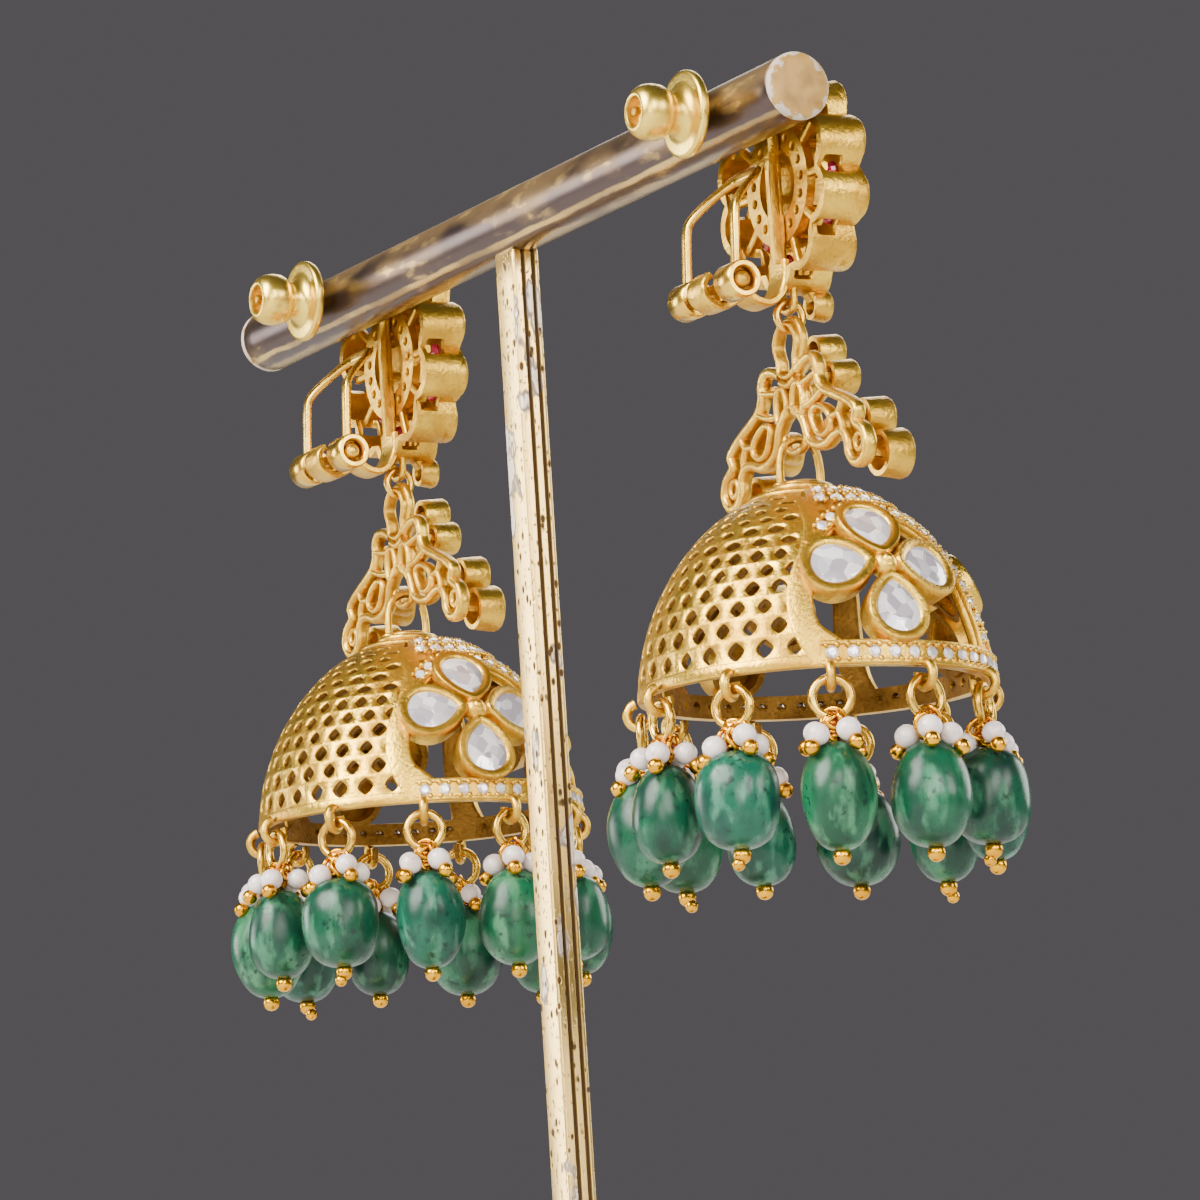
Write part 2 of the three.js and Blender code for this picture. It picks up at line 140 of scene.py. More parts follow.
def turned(profile: Sequence[tuple[float, float]], sides: int, axis: str = "z") -> Solid:
    """A profile of (radius, height) turned about an axis; a point is (r cos a, r sin a, h).

    Args:
        profile: pairs from one end to the other; it closes on the axis, or on itself
            where its first and last pairs are alike.
        sides: number of steps round.
        axis: "z", "y" or "x", along which the height runs.
    Returns:
        The closed solid.
    """
    line = np.asarray(profile, float)
    loop = np.allclose(line[0], line[-1])
    line = line[:-1] if loop else line
    angle = np.linspace(0, 2 * math.pi, sides, endpoint=False)
    rings = np.stack([line[:, :1] * np.cos(angle), line[:, :1] * np.sin(angle),
                      np.repeat(line[:, 1:], sides, 1)], -1)
    body = Solid(rings.reshape(-1, 3), grid_faces(len(line), sides, True, True)) if loop else capped(rings)
    order = {"z": [0, 1, 2], "y": [1, 2, 0], "x": [2, 0, 1]}[axis]
    return Solid(body.points[:, order], body.faces)


def unit(vectors: Array) -> Array:
    """Vectors scaled to length one."""
    return vectors / np.maximum(np.linalg.norm(vectors, axis=-1, keepdims=True), 1e-12)


def smooth_path(points: Sequence[Sequence[float]], steps: int, closed: bool = False) -> Array:
    """A Catmull-Rom curve: between p1 and p2 each step blends p0..p3 by cubic weights.

    Args:
        points: the points that it passes through.
        steps: steps between two of them.
        closed: whether the curve comes back to its start.
    Returns:
        Points along the curve.
    """
    p = np.asarray(points, float)
    p = np.concatenate([p[-1:], p, p[:2]]) if closed else np.concatenate(
        [2 * p[:1] - p[1:2], p, 2 * p[-1:] - p[-2:-1]])
    t = np.linspace(0, 1, steps, endpoint=False)[None, :, None]
    a, b, c, d = (p[i:len(p) - 3 + i, None] for i in range(4))
    curve = 0.5 * (2 * b + (c - a) * t + (2 * a - 5 * b + 4 * c - d) * t**2
                   + (3 * b - 3 * c + d - a) * t**3)
    curve = curve.reshape(-1, p.shape[1])
    return curve if closed else np.concatenate([curve, p[-2:-1]])


def round_section(radius: float, sides: int = 12) -> Array:
    """A circle of (side, up) pairs."""
    a = np.linspace(0, 2 * math.pi, sides, endpoint=False)
    return radius * np.stack([np.cos(a), np.sin(a)], -1)


def soft_section(width: float, height: float, sides: int = 16, power: float = 4.0) -> Array:
    """A rounded rectangle: a superellipse |x/a|^p + |y/b|^p = 1."""
    a = np.linspace(0, 2 * math.pi, sides, endpoint=False) + math.pi / sides
    shape = np.sign([np.cos(a), np.sin(a)]) * np.abs([np.cos(a), np.sin(a)]) ** (2 / power)
    return (shape.T) * [width / 2, height / 2]


def carried(path: Array, section: Array, up: Optional[Array] = None, closed: bool = False,
            scale: Optional[Array] = None) -> Solid:
    """A section carried along a path: point = path + side * x + up * y.

    Args:
        path: points of (n, 3).
        section: (m, 2) pairs of side and up.
        up: the up direction, one or one for each point; found by turning as little as
            possible from point to point where it is left out.
        closed: whether the path comes back to its start.
        scale: size of the section at each point.
    Returns:
        The closed solid.
    """
    ahead = np.roll(path, -1, 0) - np.roll(path, 1, 0)
    if not closed:
        ahead[0], ahead[-1] = path[1] - path[0], path[-1] - path[-2]
    ahead = unit(ahead)
    if up is None:
        first = np.eye(3)[np.argmin(np.abs(ahead[0]))]
        ups = [unit(first - ahead[0] * (first @ ahead[0]))]
        for direction in ahead[1:]:
            ups.append(unit(ups[-1] - direction * (ups[-1] @ direction)))
        up = np.array(ups)
    up = np.broadcast_to(np.asarray(up, float), path.shape)
    up = unit(up - ahead * (up * ahead).sum(-1, keepdims=True))
    side = np.cross(up, ahead)
    size = np.ones(len(path)) if scale is None else np.asarray(scale, float)
    rings = path[:, None] + size[:, None, None] * (
        side[:, None] * section[None, :, :1] + up[:, None] * section[None, :, 1:])
    if closed:
        return Solid(rings.reshape(-1, 3), grid_faces(len(path), len(section), True, True))
    return capped(rings)


def wire(points: Sequence[Sequence[float]], radius: float, steps: int = 6, sides: int = 10,
         closed: bool = False) -> Solid:
    """A round wire along a smooth curve through the points, with rounded ends when open."""
    path = smooth_path(points, steps, closed)
    scale = np.ones(len(path))
    if not closed:
        scale[[0, -1]] = 0.6
    return carried(path, round_section(radius, sides), closed=closed, scale=scale)


def ring_wire(centre: Sequence[float], radius: float, gauge: float, across: int, sides: int = 36,
              stretch: float = 1.0) -> Solid:
    """A jump ring square to one axis: two cosines about its centre, stretched upwards.

    Args:
        centre: its middle.
        radius: from the middle to the wire's centre line.
        gauge: radius of the wire.
        across: the axis, 0, 1 or 2, that it is square to.
        sides: steps round.
        stretch: height over width.
    Returns:
        The ring.
    """
    a = np.linspace(0, 2 * math.pi, sides, endpoint=False)
    path = np.zeros((sides, 3))
    first, second = [k for k in range(3) if k != across]
    path[:, first] = radius * np.cos(a)
    path[:, second] = radius * np.sin(a) * stretch
    normal = np.eye(3)[across]
    return carried(path + np.asarray(centre), round_section(gauge, 10), normal, True)


def ball(radius: float, sides: int = 16, rings: int = 9, centre: Sequence[float] = (0, 0, 0),
         stretch: float = 1.0) -> Solid:
    """A sphere: (r sin v cos u, r sin v sin u, r cos v)."""
    v = np.linspace(math.pi, 0, rings + 2)[1:-1]
    profile = [(radius * math.sin(t), radius * math.cos(t) * stretch) for t in v]
    ends = [(1e-4, -radius * stretch)] + profile + [(1e-4, radius * stretch)]
    return turned(ends, sides).moved(centre)


def scattered(pattern: Solid, places: Array, outward: Array, along: Array,
              sizes: Union[float, Array] = 1.0) -> Solid:
    """Copies of a small solid, each with its Z on `outward` and its X on `along`.

    Args:
        pattern: the solid to copy.
        places: (n, 3) points.
        outward: (n, 3) directions.
        along: (n, 3) directions, made square to `outward`.
        sizes: one size, or one for each copy.
    Returns:
        All the copies.
    """
    z = unit(np.asarray(outward, float))
    x = unit(along - z * (along * z).sum(-1, keepdims=True))
    axes = np.stack([x, np.cross(z, x), z], 1)
    size = np.broadcast_to(np.asarray(sizes, float), (len(places),))
    points = places[:, None] + size[:, None, None] * np.einsum("pk,nkc->npc", pattern.points, axes)
    count = len(pattern.points)
    shift = (np.arange(len(places)) * count)[:, None, None]
    faces = np.where(pattern.faces[None] >= 0, pattern.faces[None] + shift, -1)
    return Solid(points.reshape(-1, 3), faces.reshape(-1, 4))


SurfaceMap = Callable[[Array, Array, Array], Array]


@dataclass(frozen=True)
class Pierced:
    """A thick sheet cut into cells, some of them with a rounded hole.

    Every cell is a ring of sixteen sides between its rectangle and its hole, once on the
    outer face and once on the inner one, with a softened edge between them.
    """

    columns: Array
    rows: Array
    hole: Callable[[int, int], Optional[tuple[float, float, float]]]
    surface: SurfaceMap
    staggered: bool = False
    wrap: bool = False

    def solid(self) -> Solid:
        """Builds all the cells and the sheet's edges.

        Returns:
            The sheet; its shared corners are merged when the mesh is made.
        """
        frame_u = np.array([1, 1, 1, .5, 0, -.5, -1, -1, -1, -1, -1, -.5, 0, .5, 1, 1])
        frame_v = np.array([0, .5, 1, 1, 1, 1, 1, .5, 0, -.5, -1, -1, -1, -1, -1, -.5])
        angle = np.arange(16) * math.pi / 8
        parts = []
        for j in range(len(self.rows) - 1):
            low, high = self.rows[j], self.rows[j + 1]
            for i, (left, right, whole) in enumerate(self._cells(j)):
                u, half_u = (left + right) / 2, (right - left) / 2
                v, half_v = (low + high) / 2, (high - low) / 2
                hole = self.hole(i, j) if whole else None
                edge_u, edge_v = u + half_u * frame_u, v + half_v * frame_v
                if hole is None:
                    parts += [self._lid(edge_u, edge_v, u, v, depth) for depth in (0.0, 1.0)]
                    continue
                width, height, power = hole
                cu = np.sign(np.cos(angle)) * np.abs(np.cos(angle)) ** (2 / power) * width * half_u
                cv = np.sign(np.sin(angle)) * np.abs(np.sin(angle)) ** (2 / power) * height * half_v
                rings = [(edge_u, edge_v, 0.0)]
                lip_u, lip_v = (min(1.16, 0.97 / max(size, 0.1)) for size in (width, height))
                for grow_u, grow_v, depth in ((lip_u, lip_v, 0.0), (1.03, 1.03, 0.1), (1.0, 1.0, 0.5),
                                              (1.03, 1.03, 0.9), (lip_u, lip_v, 1.0)):
                    rings.append((u + cu * grow_u, v + cv * grow_v, depth))
                rings.append((edge_u, edge_v, 1.0))
                points = np.concatenate([self.surface(a, b, np.full(16, w)) for a, b, w in rings])
                parts.append(Solid(points, grid_faces(len(rings), 16, False, True)))
        parts += self._edges()
        return joined(parts)

    def _cells(self, j: int) -> list[tuple[float, float, bool]]:
        """The (left, right, whole) of each cell in a row, half cells at the ends where shifted."""
        c = self.columns
        if not (self.staggered and j % 2):
            return [(c[i], c[i + 1], True) for i in range(len(c) - 1)]
        middle = (c[:-1] + c[1:]) / 2
        inner = [(middle[i], middle[i + 1], True) for i in range(len(middle) - 1)]
        return inner + [(c[0], middle[0], False), (middle[-1], c[-1], False)]

    def _lid(self, edge_u: Array, edge_v: Array, u: float, v: float, depth: float) -> Solid:
        """A cell with no hole: a fan of triangles to its middle."""
        points = self.surface(np.append(edge_u, u), np.append(edge_v, v), np.full(17, depth))
        return Solid(points, fan_faces(np.arange(16), 16))

    def _edges(self) -> list[Solid]:
        """Walls between the outer and the inner face along the sheet's border."""
        u, v = (np.unique(np.concatenate([marks[:-1] + k * np.diff(marks) / 4 for k in range(5)]).round(9))
                for marks in (self.columns, self.rows))
        borders = [(u, np.full(len(u), end)) for end in (self.rows[0], self.rows[-1])]
        if not self.wrap:
            borders += [(np.full(len(v), end), v) for end in (self.columns[0], self.columns[-1])]
        walls = []
        for a, b in borders:
            points = np.concatenate([self.surface(a, b, np.full(len(a), w)) for w in (0.0, 1.0)])
            walls.append(Solid(points, grid_faces(2, len(a), False, False)))
        return walls


# ---------------------------------------------------------------- shader graph as expressions


class Socket:
    """A shader socket that can be reckoned with like a number."""

    def __init__(self, graph: "Graph", link: bpy.types.NodeSocket) -> None:
        """Keeps the graph that the socket belongs to."""
        self.graph = graph
        self.link = link

    def _math(self, operation: str, other: "Value", swap: bool = False) -> "Socket":
        """Adds one Math node on this socket and another value."""
        pair = (other, self) if swap else (self, other)
        return self.graph.node("ShaderNodeMath", {"operation": operation}, {0: pair[0], 1: pair[1]})

    def __add__(self, other: "Value") -> "Socket":
        """Sum."""
        return self._math("ADD", other)

    def __sub__(self, other: "Value") -> "Socket":
        """Difference."""
        return self._math("SUBTRACT", other)

    def __rsub__(self, other: "Value") -> "Socket":
        """Difference from a number."""
        return self._math("SUBTRACT", other, True)

    def __mul__(self, other: "Value") -> "Socket":
        """Product."""
        return self._math("MULTIPLY", other)

    def __truediv__(self, other: "Value") -> "Socket":
        """Quotient."""
        return self._math("DIVIDE", other)

    def __pow__(self, other: "Value") -> "Socket":
        """Power."""
        return self._math("POWER", other)

    __radd__ = __add__
    __rmul__ = __mul__

    def ramp(self, low: float, high: float) -> "Socket":
        """Nought below `low`, one above `high`, smooth between."""
        return self.graph.node("ShaderNodeMapRange", {"interpolation_type": "SMOOTHSTEP"},
                               {0: self, 1: low, 2: high, 3: 0.0, 4: 1.0})


Value = Union[Socket, float, int, Sequence[float]]


class Graph:
    """The node tree of one material, made by expressions."""

    def __init__(self, name: str) -> None:
        """Starts a material with an empty tree and its principled shader."""
        self.material = bpy.data.materials.new(name)
        self.material.use_nodes = True
        self.tree = self.material.node_tree
        self.tree.nodes.clear()
        self.shader = self.tree.nodes.new("ShaderNodeBsdfPrincipled")
        out = self.tree.nodes.new("ShaderNodeOutputMaterial")
        self.tree.links.new(self.shader.outputs[0], out.inputs[0])
        self.position = self.node("ShaderNodeTexCoord", {}, {}, "Object")

    def node(self, kind: str, settings: dict, inputs: dict, output: Union[int, str] = 0) -> Socket:
        """Adds any node.

        Args:
            kind: its type.
            settings: properties, set first.
            inputs: a value or a link for each socket, by name or number.
            output: which socket to hand back.
        Returns:
            That socket.
        """
        made = self.tree.nodes.new(kind)
        for key, value in settings.items():
            setattr(made, key, value)
        for key, value in inputs.items():
            if isinstance(value, Socket):
                self.tree.links.new(value.link, made.inputs[key])
            else:
                made.inputs[key].default_value = value
        return Socket(self, made.outputs[output])

    def noise(self, scale: float, detail: float = 3.0, stretch: Optional[Sequence[float]] = None) -> Socket:
        """Soft noise on object coordinates, with `scale` bumps to the metre."""
        where = self.position if stretch is None else self._stretched(stretch)
        return self.node("ShaderNodeTexNoise", {}, {"Vector": where, "Scale": scale, "Detail": detail}, "Fac")

    def spots(self, scale: float, stretch: Sequence[float]) -> Socket:
        """Distance to the nearest of many scattered points."""
        return self.node("ShaderNodeTexVoronoi", {}, {"Vector": self._stretched(stretch), "Scale": scale},
                         "Distance")

    def _stretched(self, stretch: Sequence[float]) -> Socket:
        """Object coordinates, each multiplied by a number of its own."""
        return self.node("ShaderNodeVectorMath", {"operation": "MULTIPLY"},
                         {0: self.position, 1: tuple(stretch)})

    def axis(self, name: str) -> Socket:
        """One of the object coordinates, by its letter."""
        return self.node("ShaderNodeSeparateXYZ", {}, {0: self.position}, name)

    def largest(self, first: Value, second: Value) -> Socket:
        """The greater of two values."""
        return self.node("ShaderNodeMath", {"operation": "MAXIMUM"}, {0: first, 1: second})

    def mix(self, share: Value, low: Value, high: Value) -> Socket:
        """A colour between two, by a share from nought to one."""
        made = self.tree.nodes.new("ShaderNodeMix")
        made.data_type = "RGBA"
        for key, value in ((0, share), (6, low), (7, high)):
            if isinstance(value, Socket):
                self.tree.links.new(value.link, made.inputs[key])
            else:
                made.inputs[key].default_value = value if key == 0 else (*value, 1.0)
        return Socket(self, made.outputs[2])

    def finish(self, bump: Optional[Socket] = None, depth: float = 0.0,
               **inputs: Value) -> bpy.types.Material:
        """Sets the shader's sockets and hands back the material.

        Args:
            bump: height for the Normal, if any.
            depth: how high one unit of it is, in metres.
            inputs: values or links, with _ for a space in a socket's name.
        Returns:
            The material.
        """
        for key, value in inputs.items():
            socket = self.shader.inputs[key.replace("_", " ")]
            if isinstance(value, Socket):
                self.tree.links.new(value.link, socket)
            elif socket.type == "RGBA" and len(value) == 3:
                socket.default_value = (*value, 1.0)
            else:
                socket.default_value = value
        if bump is not None:
            normal = self.node("ShaderNodeBump", {}, {"Strength": 1.0, "Distance": depth, "Height": bump},
                               "Normal")
            self.tree.links.new(normal.link, self.shader.inputs["Normal"])
        return self.material


@dataclass(frozen=True)
class GoldFinish:
    """Plated gold: a warm body colour, browner in patches, with a fine cast grain."""

    name: str
    colour: Colour
    deep: Colour
    roughness: float
    spread: float
    grain: float
    grain_depth: float

    def material(self) -> bpy.types.Material:
        """Builds the material."""
        g = Graph(self.name)
        broad = g.noise(260, 3).ramp(0.3, 0.72)
        fine = g.noise(self.grain, 5)
        colour = g.mix(broad * 0.75 + fine.ramp(0.45, 0.8) * 0.25, self.colour, self.deep)
        rough = self.roughness + (fine - 0.5) * self.spread + (broad - 0.5) * self.spread * 0.5
        return g.finish(bump=fine, depth=self.grain_depth, Base_Color=colour, Roughness=rough, Metallic=1.0)


@dataclass(frozen=True)
class PittedGoldFinish:
    """Pale gold plate: silvery worn patches, dark pits, and painted shade darkening its grooves."""

    name: str = "pale_pitted_gold"
    colour: Colour = (0.90, 0.62, 0.20)
    worn: Colour = (0.84, 0.76, 0.68)
    pit_and_groove_shade: Colour = (0.09, 0.045, 0.012)
    grooves: tuple[float, ...] = ()
    groove_half: float = 0.00022
    wear_and_groove_shade: float = 1.0

    def material(self) -> bpy.types.Material:
        """Builds the material; painted shade darkens the grooves where Y is near one of their places."""
        g = Graph(self.name)
        patches = g.noise(330, 3, (1, 1, 0.42)).ramp(0.59, 0.62)
        rims = patches * (1 - g.noise(330, 3, (1, 1, 0.42)).ramp(0.62, 0.65))
        pits = (1 - g.spots(1100, (1, 1, 0.6)).ramp(0.2, 0.32)) * g.noise(300, 3).ramp(0.45, 0.52)
        specks = 1 - g.noise(2600, 3, (1, 1, 0.6)).ramp(0.31, 0.39)
        dark = g.largest(pits, g.largest(specks * 0.8, rims * 0.7))
        across = g.axis("Y")
        # painted shade: each groove is darkened with the pit colour, where shade falls in the recess
        for middle in self.grooves:
            gap = ((across - middle) * (across - middle)) ** 0.5
            dark = g.largest(dark, 1 - gap.ramp(self.groove_half * 0.7, self.groove_half * 1.3))
        # scales the real pits and worn patches, and the painted groove shade
        dark, patches = dark * self.wear_and_groove_shade, patches * self.wear_and_groove_shade
        colour = g.mix(dark, g.mix(patches * 0.85, self.colour, self.worn), self.pit_and_groove_shade)
        rough = 0.22 + patches * 0.2 + dark * 0.35 + g.noise(120, 4) * 0.16
        return g.finish(bump=1 - dark, depth=0.00006, Base_Color=colour, Roughness=rough,
                        Metallic=1 - dark * 0.4)


@dataclass(frozen=True)
class BronzeFinish:
    """Dark bronze lacquer on a tube along X, rubbed to gold in streaks, with painted light on its upper side
    and a painted highlight line along its underside.
    """

    radius: float
    height: float
    name: str = "dark_bronze_wear_and_painted_light"
    colour: Colour = (0.085, 0.058, 0.052)
    warm: Colour = (0.30, 0.19, 0.085)
    gold: Colour = (0.74, 0.50, 0.16)

    def material(self) -> bpy.types.Material:
        """Builds the material; height over the axis, in radii, places the painted lighter top and the painted
        highlight along the underside.
        """
        g = Graph(self.name)
        up = (g.axis("Z") - self.height) / self.radius
        streaks = g.noise(700, 5, (0.3, 1, 1))
        cloud = g.noise(130, 4, (0.5, 1, 1))
        # painted light: warmer and lighter towards the top of the tube, mixed with random cloud
        warm = (cloud + up * 0.22).ramp(0.42, 0.66)
        worn = streaks.ramp(0.55, 0.66) * (cloud + up * 0.1).ramp(0.45, 0.6)
        # painted highlight: a thin gold line at a fixed height low on the tube, and more gold at its very
        # bottom
        edge = up + (streaks - 0.5) * 0.14
        under = edge.ramp(-0.84, -0.78) * (1 - edge.ramp(-0.72, -0.66)) + (1 - edge.ramp(-0.99, -0.93)) * 0.6
        # real streaked wear and the painted highlight line, both in the gold colour
        rubbed = g.largest(worn * 0.7, under * (0.35 + cloud.ramp(0.4, 0.6) * 0.6))
        colour = g.mix(rubbed, g.mix(warm, self.colour, self.warm), self.gold)
        rough = 0.3 + warm * 0.14 - rubbed * 0.06 + (streaks - 0.5) * 0.12
        return g.finish(bump=streaks, depth=0.00003, Base_Color=colour, Roughness=rough, Metallic=0.92)


@dataclass(frozen=True)
class PlugFinish:
    """Tan end plug, whitish in patches towards its rounded rim."""

    radius: float
    height: float
    name: str = "tan_end_plug"
    colour: Colour = (0.38, 0.22, 0.045)
    dark: Colour = (0.25, 0.13, 0.022)
    rim_white: Colour = (0.44, 0.37, 0.29)

    def material(self) -> bpy.types.Material:
        """Builds the material; the distance from the bar's axis is a square root of squares."""
        g = Graph(self.name)
        y, z = g.axis("Y"), g.axis("Z") - self.height
        out = ((y * y + z * z) ** 0.5) / self.radius
        mottle = g.noise(900, 4)
        # whitish patches on the rounded edge, placed by distance from the bar's axis
        rim = (out + (mottle - 0.5) * 1.3).ramp(0.86, 0.98) * (out.ramp(0.6, 0.8))
        colour = g.mix(rim, g.mix(g.noise(500, 3).ramp(0.35, 0.7), self.colour, self.dark), self.rim_white)
        return g.finish(bump=mottle, depth=0.00006, Base_Color=colour, Roughness=0.5 + rim * 0.2)


@dataclass(frozen=True)
class BeadFinish:
    """Polished green stone: cloudy, with paler veins, dark specks and light let through."""

    name: str
    colour: Colour
    light: Colour
    dark: Colour
    seed: float

    def material(self) -> bpy.types.Material:
        """Builds the material."""
        g = Graph(self.name)
        cloud = g.noise(260 + 17 * self.seed, 4, (1, 1, 0.6)).ramp(0.38, 0.62)
        veins = g.noise(520 + 23 * self.seed, 7, (1, 1, 0.4)).ramp(0.5, 0.66)
        specks = g.noise(1300 + 41 * self.seed, 4).ramp(0.56, 0.66) * g.noise(240, 2).ramp(0.42, 0.56)
        colour = g.mix(specks * 0.85, g.mix(veins * 0.7, g.mix(cloud, self.colour, self.dark), self.light),
                       (0.003, 0.018, 0.013))
        return g.finish(bump=g.noise(700, 3), depth=0.00003, Base_Color=colour,
                        Roughness=0.24 + cloud * 0.1, Transmission_Weight=0.15, IOR=1.38,
                        Subsurface_Weight=0.12, Subsurface_Radius=(0.3, 1.0, 0.6), Subsurface_Scale=0.0015)


@dataclass(frozen=True)
class PearlFinish:
    """Small off-white pearls with a faint warm blush and a soft coat."""

    name: str = "pearl"
    colour: Colour = (0.74, 0.66, 0.62)
    blush: Colour = (0.54, 0.43, 0.39)

    def material(self) -> bpy.types.Material:
        """Builds the material."""
        g = Graph(self.name)
        colour = g.mix(g.noise(700, 4).ramp(0.45, 0.75), self.colour, self.blush)
        return g.finish(bump=g.noise(1800, 3), depth=0.00003, Base_Color=colour, Roughness=0.32,
                        Coat_Weight=0.5, Coat_Roughness=0.15)


@dataclass(frozen=True)
class StoneFinish:
    """Foil-backed cut stone: bright, with grey facets and a hard gloss."""

    name: str
    colour: Colour
    shade: Colour
    metallic: float = 0.25
    scale: float = 480.0

    def material(self) -> bpy.types.Material:
        """Builds the material."""
        g = Graph(self.name)
        patches = g.node("ShaderNodeTexVoronoi", {}, {"Vector": g.position, "Scale": self.scale}, "Color")
        tone = g.node("ShaderNodeSeparateXYZ", {}, {0: patches}, "X")
        colour = g.mix(tone.ramp(0.15, 0.9), self.colour, self.shade)
        return g.finish(bump=g.noise(1200, 2), depth=0.00004, Base_Color=colour,
                        Roughness=0.1 + tone * 0.12, Metallic=self.metallic, Coat_Weight=0.8,
                        Coat_Roughness=0.03)


@dataclass(frozen=True)
class FloorFinish:
    """Plain pale paper."""

    name: str = "pale_floor"

    def material(self) -> bpy.types.Material:
        """Builds the material."""
        g = Graph(self.name)
        colour = g.mix(g.noise(8, 2), (0.72, 0.71, 0.70), (0.68, 0.67, 0.67))
        return g.finish(Base_Color=colour, Roughness=0.8)


class Slot(Enum):
    """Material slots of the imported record."""

    CAST = "cast_gold"
    WIRE = "wire_gold"
    TURNED = "clutch_gold"
    SHOT = "shot_gold"
    PALE = "pale_gold"
    BRONZE = "dark_bronze"
    CAP = "end_cap"
    BEAD = "green_bead"
    PEARL = "pearl"
    WHITE = "white_stone"
    RED = "red_stone"


class Palette:
    """Every finish, made once."""

    def __init__(self, bar_radius: float, bar_height: float) -> None:
        """Builds the materials; the bar's sizes, in metres, place the plugs' worn rims."""
        warm, brown = (0.80, 0.51, 0.055), (0.44, 0.22, 0.018)
        self.by_slot: dict[Slot, bpy.types.Material] = {
            Slot.CAST: GoldFinish("satin_cast_gold", warm, brown, 0.36, 0.24, 2600, 0.00007).material(),
            Slot.WIRE: GoldFinish("drawn_gold_wire", (0.82, 0.54, 0.08), (0.58, 0.32, 0.03), 0.27, 0.12,
                                  1800, 0.00002).material(),
            Slot.TURNED: GoldFinish("turned_gold", (0.85, 0.62, 0.11), (0.66, 0.42, 0.05), 0.32, 0.14,
                                    3000, 0.00002).material(),
            Slot.SHOT: GoldFinish("orange_gold", (0.80, 0.41, 0.006), (0.58, 0.25, 0.002), 0.26, 0.12,
                                  1400, 0.00003).material(),
            Slot.PALE: PittedGoldFinish(wear_and_groove_shade=0.14).material(),
            Slot.BRONZE: BronzeFinish(bar_radius, bar_height).material(),
            Slot.CAP: PlugFinish(bar_radius, bar_height).material(),
            Slot.PEARL: PearlFinish().material(),
            Slot.WHITE: StoneFinish("white_polki", (0.92, 0.89, 0.91), (0.40, 0.36, 0.41), 0.3,
                                    820.0).material(),
            Slot.RED: StoneFinish("ruby_red", (0.50, 0.02, 0.06), (0.22, 0.005, 0.03), 0.1).material(),
        }
        # painted shade: a dark, rougher gold for the faces inside the bell, where shade falls
        self.lining = GoldFinish("painted_shade_inner_gold", (0.30, 0.155, 0.03), (0.13, 0.06, 0.012), 0.5, 0.3,
                                 2200, 0.0002).material()
        self.post = PittedGoldFinish("grooved_pale_gold", grooves=tuple(y * MM for y in GROOVES)).material()
        self.pave = StoneFinish("pave_white", (0.92, 0.90, 0.92), (0.50, 0.46, 0.48), 0.3, 1300).material()
        greens = [((0.007, 0.088, 0.040), (0.060, 0.23, 0.125), (0.002, 0.036, 0.020)),
                  ((0.010, 0.108, 0.046), (0.080, 0.27, 0.135), (0.003, 0.050, 0.022)),
                  ((0.007, 0.092, 0.052), (0.070, 0.24, 0.150), (0.002, 0.042, 0.027)),
                  ((0.005, 0.070, 0.034), (0.055, 0.19, 0.105), (0.001, 0.026, 0.016))]
        self.beads = [BeadFinish(f"green_stone_{k + 1}", *tones, seed=float(k)).material()
                      for k, tones in enumerate(greens)]

    def make(self, name: str, solid: Solid, slot: "Slot", body: str, replaces: Sequence[str] = (),
             crease: float = 40.0, lining: "Optional[Lining]" = None) -> bpy.types.Object:
        """Makes a piece in its slot's own finish."""
        return make_piece(name, solid, self.by_slot[slot], body, replaces, crease, lining)


@dataclass(frozen=True)
class Lining:
    """A second finish for the faces of a piece that look towards a place: painted shade on inward faces."""

    material: bpy.types.Material
    centre: Array
    least_cosine: float


def make_piece(name: str, solid: Solid, material: bpy.types.Material, body: str,
               replaces: Sequence[str] = (), crease: float = 40.0,
               lining: Optional[Lining] = None) -> bpy.types.Object:
    """Turns a solid into a finished object that rides on a body.

    Args:
        name: the piece's name.
        solid: its shape in millimetres, in the frame's place.
        material: its finish.
        body: the body that it rides on.
        replaces: CAD nodes that it stands for.
        crease: edges sharper than this, in degrees, stay sharp.
        lining: its second finish, if any.
    Returns:
        The object.
    """
    mesh = bpy.data.meshes.new(name)
    faces = solid.faces
    loops = faces[faces >= 0]
    counts = (faces >= 0).sum(1)
    mesh.vertices.add(len(solid.points))
    mesh.vertices.foreach_set("co", (solid.points * MM).astype(np.float32).ravel())
    mesh.loops.add(len(loops))
    mesh.loops.foreach_set("vertex_index", loops.astype(np.int32))
    mesh.polygons.add(len(faces))
    mesh.polygons.foreach_set("loop_start", np.concatenate([[0], np.cumsum(counts)[:-1]]).astype(np.int32))
    mesh.update(calc_edges=True)
    shape = bmesh.new()
    shape.from_mesh(mesh)
    bmesh.ops.remove_doubles(shape, verts=shape.verts, dist=2e-7)
    bmesh.ops.dissolve_degenerate(shape, edges=shape.edges, dist=1e-8)
    bmesh.ops.recalc_face_normals(shape, faces=shape.faces)
    shape.to_mesh(mesh)
    shape.free()
    mesh.polygons.foreach_set("use_smooth", np.ones(len(mesh.polygons), bool))
    mesh.set_sharp_from_angle(angle=math.radians(crease))
    mesh.materials.append(material)
    if lining is not None:
        mesh.materials.append(lining.material)
        flat = np.zeros((2, len(mesh.polygons) * 3), np.float32)
        mesh.polygons.foreach_get("normal", flat[0])
        mesh.polygons.foreach_get("center", flat[1])
        normals, centres = flat.reshape(2, -1, 3)
        inwards = (normals * unit(lining.centre * MM - centres)).sum(1) > lining.least_cosine
        mesh.polygons.foreach_set("material_index", inwards.astype(np.int32))
    piece = bpy.data.objects.new(name, mesh)
    bpy.context.scene.collection.objects.link(piece)
    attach(piece, body)
    if replaces:
        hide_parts(*replaces)
    LOG.info("%s: %d faces on %s", name, len(mesh.polygons), body)
    return piece


# ---------------------------------------------------------------- cut stones


